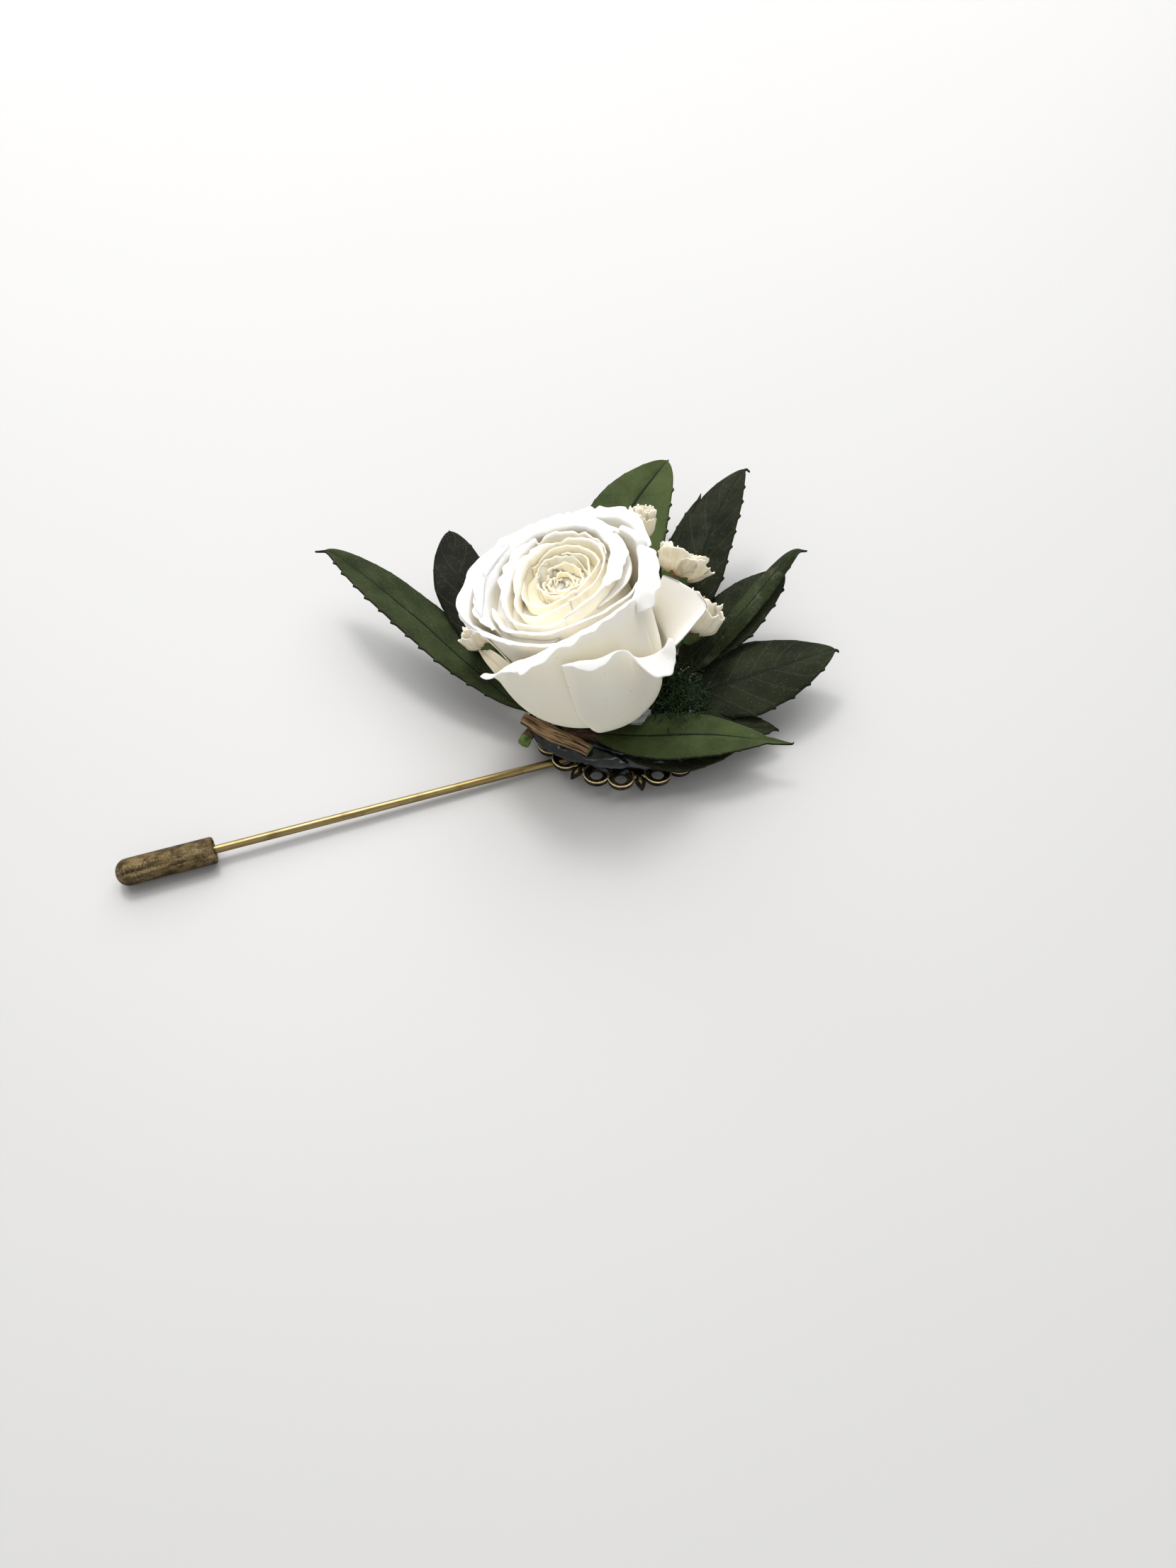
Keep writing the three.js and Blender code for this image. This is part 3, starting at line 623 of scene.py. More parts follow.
def surface(columns, rows, shape, closed=False):
    """A grid with its own UV map, each point moved to shape(u, v), and its seam merged if closed."""
    mesh = bmesh.new()
    mesh.loops.layers.uv.new("UVMap")
    bmesh.ops.create_grid(mesh, x_segments=columns, y_segments=rows, size=0.5, calc_uvs=True)
    for vert in mesh.verts:
        vert.co = shape(vert.co.x + 0.5, vert.co.y + 0.5)
    if closed:
        bmesh.ops.remove_doubles(mesh, verts=mesh.verts, dist=1e-3)
        bmesh.ops.recalc_face_normals(mesh, faces=mesh.faces)
    return mesh


def stem(points, radius, columns=24, rows=60, lumps=0.0, seed=0.0):
    """A round stem with closed ends along smooth points. radius is a function of the share along."""
    path = route(points)

    def shape(u, v):
        share = min(max((v - STEM_END) / (1 - 2 * STEM_END), 0), 1)
        centre, ahead = path(share)
        side = ahead.cross(Vector((0, 0, 1))).normalized()
        up = side.cross(ahead)
        turn = u * math.tau
        wide = 0 if v < STEM_END / 2 or v > 1 - STEM_END / 2 else radius(share)
        ridge = Vector((math.cos(turn) * 2.4, math.sin(turn) * 2.4, share * path.length * 0.35 + seed))
        wide *= 1 + lumps * noise.noise(ridge)
        return centre + (side * math.cos(turn) + up * math.sin(turn)) * wide

    return surface(columns, rows, shape, closed=True)


def bark(title, deep, ridge, cut):
    """Fibres along the stem with dark splits, and green wood at its ends, past that share from its middle."""
    finish = Finish(title, roughness=0.8, specular_ior_level=0.3)
    fibres = finish.uv.stretched(34, 3.0, 1).noise(1.0, detail=6.0, roughness=0.65)
    blotch = finish.place.noise(900.0, detail=3.0)
    splits = finish.uv.stretched(18, 1.6, 1).noise(1.0, detail=3.0, distortion=0.5)
    brown = fibres.above(0.36, 0.66).mix(deep, ridge)
    pale = ((fibres * 0.6 + blotch * 0.4).above(0.55, 0.7) * 0.7).mix(brown, (0.479, 0.332, 0.186))
    dark = splits.above(0.58, 0.63).mix(pale, (0.027, 0.016, 0.010))
    end = abs(finish.along - 0.5).above(cut, cut + 0.008)
    green = fibres.above(0.35, 0.65).mix((0.066, 0.120, 0.027), (0.253, 0.386, 0.086))
    finish.set(base_color=end.mix(dark, green))
    finish.bump(fibres - splits.above(0.55, 0.65) * 0.6, 0.0003, 1.0)
    return finish.material


def build_twigs():
    brown_bark = bark("brown_bark", (0.093, 0.056, 0.027), (0.532, 0.352, 0.180), 0.486)
    maroon_bark = bark("maroon_bark", (0.027, 0.013, 0.009), (0.099, 0.048, 0.029), 0.495)
    cut_wood = bark("cut_wood", (0.053, 0.032, 0.013), (0.266, 0.173, 0.080), 0.22)
    brown = stem(TWIG_BROWN, lambda share: 1.02 - 0.12 * math.cos(share * 6), lumps=0.16, seed=3)
    fork = stem(TWIG_FORK, lambda share: 0.85 - 0.2 * share, lumps=0.16, seed=8)
    stub = stem(TWIG_STUB, lambda share: 0.72 + 0.16 * share, lumps=0.12, seed=5)
    piece("twig_brown_bark", brown, brown_bark, ["twig_brown"])
    piece("twig_fork", fork, maroon_bark)
    piece("twig_stub_bark", stub, cut_wood, ["twig_stub"])


build_twigs()

# The leaves: dark preserved leaves with a short stalk in the glue, a sunk midrib, a few small teeth
# and a hooked tip. They are soaked and dyed, so they stay limp, a little glossy and dusty.
LEAF_THICKNESS = 0.3
LEAF_GRID = (22, 160)
TOOTH_PITCH = 3.0
# The stalk's share of a leaf's length, and its half width.
PETIOLE = 0.12
PETIOLE_HALF_WIDTH = 0.5
GROOVE_DEPTH = 0.12
GROOVE_WIDTH = 0.28
LEAVES = {
    "leaf_left_long": dict(
        path=[(-8.6, -3, 4.7), (-15, -1.8, 5), (-22, 3.5, 6.3), (-31, 11.5, 9), (-39.6, 18.9, 10.8),
              (-45.6, 24.2, 10.9), (-48.6, 24.9, 10.8)],
        left=3.7, right=3.9, roll=8, fold=0.16, droop=0.5, teeth=(0.45, 0.08), green=0.7, skew=1.0,
        full=0.66),
    "leaf_left_back": dict(
        path=[(-8.6, 3.3, 4.9), (-14, 5.5, 5.6), (-20.6, 10.2, 8), (-25.3, 18.4, 10.8), (-27.8, 29.3, 11)],
        left=4.3, right=5.2, roll=0, fold=-0.06, droop=0.4, teeth=(0.05, 0.2), green=-0.1, skew=1.1,
        full=0.6, drip=0.01, dusty=0.05),
    "leaf_back": dict(
        path=[(-3, 8, 4.9), (-2.6, 16, 6.5), (-1.6, 26, 8.4), (1.5, 35.4, 10.2), (7.6, 44.7, 12)],
        left=6.8, right=7.4, roll=0, fold=0.1, droop=0.4, teeth=(0.1, 0.4), green=1.5, skew=0.98,
        full=0.64, drip=0.01),
    "leaf_back_right": dict(
        path=[(4.2, 6.9, 4.9), (7.8, 12.5, 7.3), (10.7, 18.5, 9.5), (13, 26, 12), (16, 33.5, 13.6),
              (19.5, 39.7, 14), (20.5, 39.5, 14)],
        left=4.6, right=3.9, roll=0, fold=-0.16, droop=0.5, teeth=(0.06, 0.32), green=0.1, skew=0.95,
        full=0.68),
    "leaf_back_under": dict(
        path=[(1.9, 7.4, 4.2), (5, 15, 4.9), (8.8, 26, 6.6), (13.1, 41, 8)],
        left=3.0, right=3.0, roll=0, fold=0.1, droop=0.3, teeth=(0.2, 0.2), green=0.2, skew=0.9),
    "leaf_right_narrow": dict(
        path=[(7, 3, 5.4), (11, 5.5, 6.6), (14.3, 9.2, 8.2), (19.2, 14.4, 11), (23.8, 19.6, 13),
              (26.2, 21.9, 13.7), (28, 21.9, 13.9)],
        left=1.7, right=1.7, roll=0, fold=-0.5, droop=0.6, teeth=(0.03, 0.1), green=0.5, skew=0.95,
        full=0.45, dusty=0.55),
    "leaf_right_back": dict(
        path=[(6.2, 4.9, 4.2), (12, 10, 6), (17.3, 14.6, 8.2), (21.3, 18.1, 9.5), (25, 21.5, 10)],
        left=4.3, right=4.6, roll=0, fold=0.08, droop=0.4, teeth=(0.08, 0.36), green=0.2, skew=0.9,
        full=0.62, drip=0.01),
    "leaf_right_broad": dict(
        path=[(7, 1.2, 4.2), (13, 1.9, 5.2), (21, 3.8, 6.9), (27, 5.8, 7.5), (31.5, 7.4, 7.5),
              (32.3, 7.1, 7.5)],
        left=7.1, right=6.2, roll=0, fold=-0.08, droop=0.5, teeth=(0.08, 0.36), green=0.15, skew=0.68,
        full=0.7),
    "leaf_right_small": dict(
        path=[(7.8, -2.6, 4.9), (14, -4, 4.4), (18, -4.6, 4.1), (21.8, -4.8, 4), (22.6, -5.1, 4)],
        left=2.7, right=2.5, roll=0, fold=0.05, droop=0.3, teeth=(0.2, 0.3), green=0.2, skew=1.0),
    "leaf_front": dict(
        path=[(-9.3, -6.4, 6.3), (-4.5, -7.5, 6.4), (3, -8.1, 6.6), (10.5, -8, 6.8), (17.5, -8.3, 6.4),
              (23.4, -8.9, 6), (24.2, -8.6, 6)],
        left=4.2, right=4.3, roll=0, fold=0.04, droop=0.4, teeth=(0.05, 0.12), green=1.2, skew=0.85,
        drip=0.1),
    "leaf_front_under": dict(
        path=[(-3, -10.2, 5.2), (3, -10.9, 5.1), (9, -10.7, 5), (16.8, -8.9, 4.9)],
        left=2.3, right=2.3, roll=0, fold=0.0, droop=0.2, teeth=(0.1, 0.1), green=0.1, skew=1.0),
}


def leaf_blade(path, left, right, roll, fold, droop, teeth, skew, full=0.8, drip=0.03, seed=0.0, **_):
    """A blade along its midrib, as one open sheet. Half widths and teeth are given left and right of it,
    and drip is the share of it that is the thin tip."""
    midrib = route(path)

    def half_width(share, most, tooth_size, phase):
        if share < PETIOLE:
            return PETIOLE_HALF_WIDTH
        blade = min(1, (share - PETIOLE) / (1 - PETIOLE - drip))
        wide = most * max(0, math.sin(math.pi * blade ** skew)) ** full
        ripple = 1 + 0.05 * noise.noise(Vector((blade * 7, phase, seed)))
        climb = (share * midrib.length / TOOTH_PITCH + phase) % 1
        tooth = tooth_size * max(0, climb - 0.72) / 0.28 if 0.12 < blade < 0.93 else 0
        narrowest = min(PETIOLE_HALF_WIDTH, 5 * (1 - share)) + 0.05
        return max(narrowest, wide * ripple + tooth * min(1, wide))

    def shape(u, v):
        centre, ahead = midrib(v)
        side = ahead.cross(Vector((0, 0, 1))).normalized()
        up = side.cross(ahead)
        turn = Matrix.Rotation(math.radians(roll), 3, ahead)
        side, up = turn @ side, turn @ up
        across = 2 * u - 1
        half = half_width(v, right, teeth[1], 0.35) if across > 0 else half_width(v, left, teeth[0], 0.8)
        reach = abs(across) * half
        lift = reach * fold - droop * (reach / 4) ** 2 * 0.5
        lift += 0.22 * noise.noise(Vector((across * 1.2, v * 5, seed))) * min(1, half / 2)
        groove = GROOVE_DEPTH * math.exp(-(reach / GROOVE_WIDTH) ** 2) if v > PETIOLE else 0
        return centre + side * (across * half) + up * (lift - groove)

    return surface(*LEAF_GRID, shape)


def leaf_finish(name, green, dusty):
    """Near-black green, paler where green is more, with a dark midrib, thin veins and pale dust."""
    finish = Finish(name, specular_ior_level=0.05)
    off = abs(finish.across - 0.5)
    cloud = finish.place.noise(170.0, detail=4.0)
    fine = finish.place.noise(2400.0, detail=4.0, roughness=0.7)
    veins = (finish.along * 46.0 + off * -22.0).sine().above(0.93, 1.0)
    dust = finish.place.specks(2600.0, 0.15)
    haze = finish.place.noise(420.0, detail=5.0, roughness=0.7).above(0.5, 0.78)
    dark = (0.006 + 0.018 * green, 0.007 + 0.027 * green, 0.004 + 0.007 * green)
    light = (0.016 + 0.030 * green, 0.018 + 0.046 * green, 0.010 + 0.012 * green)
    body = cloud.above(0.3, 0.7).mix(dark, light)
    speckled = (fine.above(0.55, 0.8) * 0.25).mix(body, (0.064, 0.074, 0.036))
    hazed = (haze * dusty).mix(speckled, (0.130, 0.136, 0.100))
    veined = (veins * 0.2).mix(hazed, (0.060, 0.076, 0.044))
    ribbed = off.above(0.032, 0.012).mix(veined, (0.008, 0.012, 0.006))
    edged = off.above(0.485, 0.496).mix(ribbed, (0.016, 0.018, 0.010))
    finish.set(base_color=(dust * 0.35).mix(edged, (0.36, 0.38, 0.27)))
    finish.set(roughness=fine * 0.25 + 0.45)
    finish.bump(fine * 0.5 + cloud * 0.4 - veins * 0.15, 0.00008, 0.7)
    return finish.material


def thicken(made, thickness):
    """Gives an open sheet its thickness in millimetres, half on each side."""
    wall = made.modifiers.new("thickness", "SOLIDIFY")
    wall.thickness = thickness * MM
    wall.offset = 0


def build_leaves():
    materials = {}
    for index, (name, leaf) in enumerate(LEAVES.items()):
        look = leaf["green"], leaf.get("dusty", 0.1)
        if look not in materials:
            materials[look] = leaf_finish(f"leaf_green_{len(materials)}", *look)
        blade = leaf_blade(**leaf, seed=index * 3.7)
        made = piece(f"{name}_blade", blade, materials[look], [name], sharp=180)
        thicken(made, LEAF_THICKNESS)


build_leaves()

# The small buds: dried double flowers on thin stems, each a ragged tuft of cream petals in a green
# and brown calyx, set behind the rose.
CALYX_LENGTH = 1.8
CALYX_SHARE = 0.72
STEM_RADIUS = 0.45
SEPALS = 6
SEPAL_LENGTH = 2.4
SEPAL_GRID = (8, 12)
SEPAL_THICKNESS = 0.12
BUD_PETAL_GRID = (22, 16)
BUD_PETAL_THICKNESS = 0.14
LOOSE_PETAL_THICKNESS = 0.2
BUDS = {
    "bud_back": dict(radius=1.8, length=6.4, aim=(3.0, 25.1, 20.3), flare=0.12,
                     path=[(0, 8.2, 5), (0.4, 15, 9.2), (1.9, 21.5, 14.6)]),
    "bud_right_upper": dict(radius=3.1, length=5.9, aim=(9.1, 18.6, 16.3), flare=0.5,
                            path=[(2.6, 7.7, 5.2), (4.2, 11.8, 8), (6.7, 14.7, 13.2)]),
    "bud_right_lower": dict(radius=3.7, length=7.2, aim=(10.9, 11.4, 13.4), flare=0.12,
                            path=[(5.2, 6, 5.2), (6.8, 7.0, 7.2), (8.2, 7.9, 9.2)]),
    "bud_left": dict(radius=2.4, length=5.6, aim=(-23.6, 8.4, 13.3), flare=0.15,
                     path=[(-9, 1, 5.2), (-14, 3.6, 5.6), (-19.7, 5.2, 9.4)]),
}
# Each turn of a bud's petals: how many, their reach and height as shares, and their share of its flare.
BUD_WHORLS = ((5, 1.0, 0.88, 1.0), (4, 0.82, 1.0, 0.7), (4, 0.56, 1.0, 0.3), (5, 0.3, 0.95, 0))
LOOSE_PETAL = [(-8.9, -0.9, 5.2), (-12.5, -1.6, 6), (-17.0, 0.8, 8.7), (-22.3, 5.4, 11.2)]


def bud_petal(radius, start, length, flare, azimuth, span, seed):
    """One petal of a bud: cupped, pinched at its foot, with a crimped and torn top edge."""

    def shape(u, v):
        across = 2 * u - 1
        tear = noise.noise(Vector((across * 3.5, seed, 1)))
        tear += 0.5 * noise.noise(Vector((across * 11, seed, 2)))
        top = 1 - 0.28 * across ** 4 + 0.13 * tear
        height = start + (length - start) * v * (1 + (top - 1) * v)
        crimp = noise.noise(Vector((across * 2.6, v * 1.5, seed + 7)))
        reach = radius * (0.3 + 0.7 * math.sin(math.pi / 2 * min(1, v / 0.55)) + 0.16 * crimp * (0.2 + v))
        reach += radius * (flare - 0.14 * across ** 2) * v ** 2
        turn = azimuth + across * span * (0.4 + 0.6 * math.sin(math.pi * min(0.62, 0.1 + 0.7 * v)))
        return round_z(reach, turn, height)

    return surface(*BUD_PETAL_GRID, shape)


def dried_cream():
    """Cream petals with fine lengthwise creases, brown spots near the foot and greyer torn tops."""
    finish = Finish("dried_cream", roughness=0.7, subsurface_weight=0.4, subsurface_scale=0.0008,
                    subsurface_radius=(1.0, 0.95, 0.85))
    creases = finish.uv.stretched(14, 2.0, 1).noise(1.0, detail=4.0, roughness=0.6)
    blotch = finish.place.noise(420.0, detail=4.0)
    cream = creases.above(0.25, 0.7).mix((0.76, 0.66, 0.45), (0.88, 0.82, 0.66))
    brown = ((1 - finish.along) * 0.75 + blotch * 0.5).above(0.74, 1.0).mix(cream, (0.42, 0.19, 0.045))
    finish.set(base_color=(finish.along.above(0.8, 1.0) * 0.5).mix(brown, (0.90, 0.85, 0.72)))
    finish.bump(creases, 0.00016, 0.8)
    return finish.material


def dried_green():
    """Green sepals and stems going brown."""
    finish = Finish("dried_green", roughness=0.65)
    blotch = finish.place.noise(520.0, detail=4.0)
    fibres = finish.place.stretched(1, 1, 0.3).noise(2600.0, detail=3.0)
    green = fibres.mix((0.017, 0.050, 0.011), (0.086, 0.143, 0.036))
    finish.set(base_color=blotch.above(0.52, 0.7).mix(green, (0.128, 0.071, 0.028)))
    finish.bump(fibres, 0.0001, 0.8)
    return finish.material


def sepal(azimuth, wide):
    """One pointed green sepal, pressed against the bud."""

    def shape(u, v):
        turn = azimuth + (2 * u - 1) * 0.42 * (1 - v ** 2)
        return round_z(wide * (0.55 + 0.6 * v) + SEPAL_THICKNESS, turn, 0.1 + SEPAL_LENGTH * v)

    mesh = surface(*SEPAL_GRID, shape)
    bmesh.ops.solidify(mesh, geom=mesh.faces[:], thickness=SEPAL_THICKNESS)
    return mesh


def build_bud(name, radius, length, aim, flare, path, cream, green, seed):
    """A bud on its stem: its calyx at the end of the path, its petals towards the aim."""
    foot = Vector(path[-1])
    turn = Vector((0, 0, 1)).rotation_difference(Vector(aim) - foot).to_matrix().to_4x4()
    stand = Matrix.Translation(foot) @ turn
    wide = radius * CALYX_SHARE
    calyx = stem(path, lambda share: STEM_RADIUS * (1 + 0.25 * share), columns=12, rows=30, lumps=0.1)
    side = [(0.5, -0.3), (wide * 0.7, 0.4), (wide, CALYX_LENGTH)]
    cup = turned([(0, -0.3), *side, (0, CALYX_LENGTH)], steps=24)
    cup.transform(stand)
    joined(calyx, cup)
    for index in range(SEPALS):
        leaflet = sepal(index * math.tau / SEPALS + seed, wide)
        leaflet.transform(stand)
        joined(calyx, leaflet)
    piece(f"{name}_sepals", calyx, green, [f"{name}_calyx"], sharp=60)
    tuft = bmesh.new()
    draw = random.Random(seed)
    for count, ring, high, opening in BUD_WHORLS:
        for index in range(count):
            azimuth = (index + draw.uniform(-0.2, 0.2)) * math.tau / count + ring * 9
            tall = length * high * draw.uniform(0.9, 1.06)
            reach = radius * ring * draw.uniform(0.92, 1.1)
            petal = bud_petal(reach, CALYX_LENGTH - 0.5, tall, flare * opening, azimuth,
                              math.pi / count * 1.5, draw.uniform(0, 60))
            petal.transform(stand)
            joined(tuft, petal)
    made = piece(f"{name}_tuft", tuft, cream, [f"{name}_petals"], sharp=180)
    thicken(made, BUD_PETAL_THICKNESS)


def build_buds():
    cream, green = dried_cream(), dried_green()
    for index, (name, bud) in enumerate(BUDS.items()):
        build_bud(name, **bud, cream=cream, green=green, seed=index + 1)
    loose = leaf_blade(LOOSE_PETAL, 1.1, 1.5, -20, 0.12, 0.2, (0, 0), 1.4, full=0.6, seed=40)
    made = piece("bud_petal_loose_curled", loose, cream, ["bud_petal_loose"], sharp=180)
    thicken(made, LOOSE_PETAL_THICKNESS)
    return green


dried_green_material = build_buds()

# A pinch of dark green preserved moss fills the gap between the rose and the leaves on its right. It
# is fine torn fibre, pressed into the glue while that was soft.
MOSS_STRANDS = 640
MOSS_CENTRE = Vector((7.6, -0.6, 6.2))
MOSS_HALF_SIZES = Vector((4.0, 6.4, 2.6))
MOSS_FLOOR = 3.4
STRAND_REACH = 1.2
STRAND_THICKNESS = 0.06


def dark_moss():
    """Dark green fibre, a few strands of it paler."""
    finish = Finish("dark_moss", roughness=0.75, specular_ior_level=0.2)
    strand = finish.place.noise(1500.0, detail=2.0)
    cloud = finish.place.noise(300.0, detail=3.0)
    green = strand.above(0.35, 0.7).mix((0.006, 0.015, 0.004), (0.031, 0.070, 0.020))
    finish.set(base_color=cloud.above(0.55, 0.8).mix(green, (0.017, 0.017, 0.008)))
    finish.bump(strand, 0.0001)
    return finish.material


def build_moss():
    draw = random.Random(12)
    moss = bmesh.new()
    for _ in range(MOSS_STRANDS):
        at = Vector([draw.gauss(0, 0.45) * half for half in MOSS_HALF_SIZES]) + MOSS_CENTRE
        step = Vector([draw.uniform(-1, 1), draw.uniform(-1, 1), draw.uniform(-0.5, 0.7)])
        step *= STRAND_REACH
        ends = [at - step, at + Vector([draw.uniform(-0.5, 0.5) for _ in range(3)]), at + step]
        path = route(ends, samples=8)
        half = draw.uniform(0.05, 0.13)

        def shape(u, v):
            centre, ahead = path(v)
            side = ahead.cross(Vector((0.3, 0.2, 1))).normalized()
            return centre + side * (2 * u - 1) * half * (1 - 0.7 * v)

        joined(moss, surface(1, 6, shape))
    for vert in moss.verts:
        vert.co.z = max(vert.co.z, MOSS_FLOOR)
    made = piece("moss_pinch", moss, dark_moss(), sharp=180)
    thicken(made, STRAND_THICKNESS)


build_moss()

# The rose: one preserved white rose head. Its petals grow in turns from a short green receptacle, the
# outer ones cupped into a bowl, with thin edges that roll outwards and tear a little.
ROSE_BASE = Vector((-4.5, 2.5, 5))
ROSE_LEAN = math.tan(math.radians(12))
FOOT_RADIUS = 2.9
FOOT_HEIGHT = 1.6
FOOT_STEP = 0.76
FOOT_TAPER = 0.12
BOWL_DEPTH = 5.7
BOWL_SHARE = 0.45
LIP_START = 0.72
LIP_TURN = 0.5
PETAL_THICKNESS = 0.24
OUTER_TURNS = 3
OUTER_GRID = (64, 30)
INNER_GRID = (50, 24)
HEART_FOLDS = 12
HEART_REACH = 3.2
HEART_TOP = 18.3
FOLD_GRID = (30, 18)
GOLDEN_ANGLE = 137.5
PACKED_GRID = (72, 24)
PACKED_MIDDLE = 18.0
DOME_HALF_SIZES = Vector((3.4, 3.4, 0.8))
DOME_DROP = 1.7
# From these distances off the whorl's middle, in metres, the petals turn to a warmer, darker cream inwards:
# partly the rose's own cream, partly painted shade deep in the middle.
CREAM_AND_SHADE_REACH = (0.0105, 0.002)
# From turn 2 inwards the radii are about the whorl, which leans back from the bowl's middle.
WHORL_SHIFT = Vector((-0.8, 3.3, 0))
WHORL_MIDDLE = Vector((-4.6, 4.2, 19))
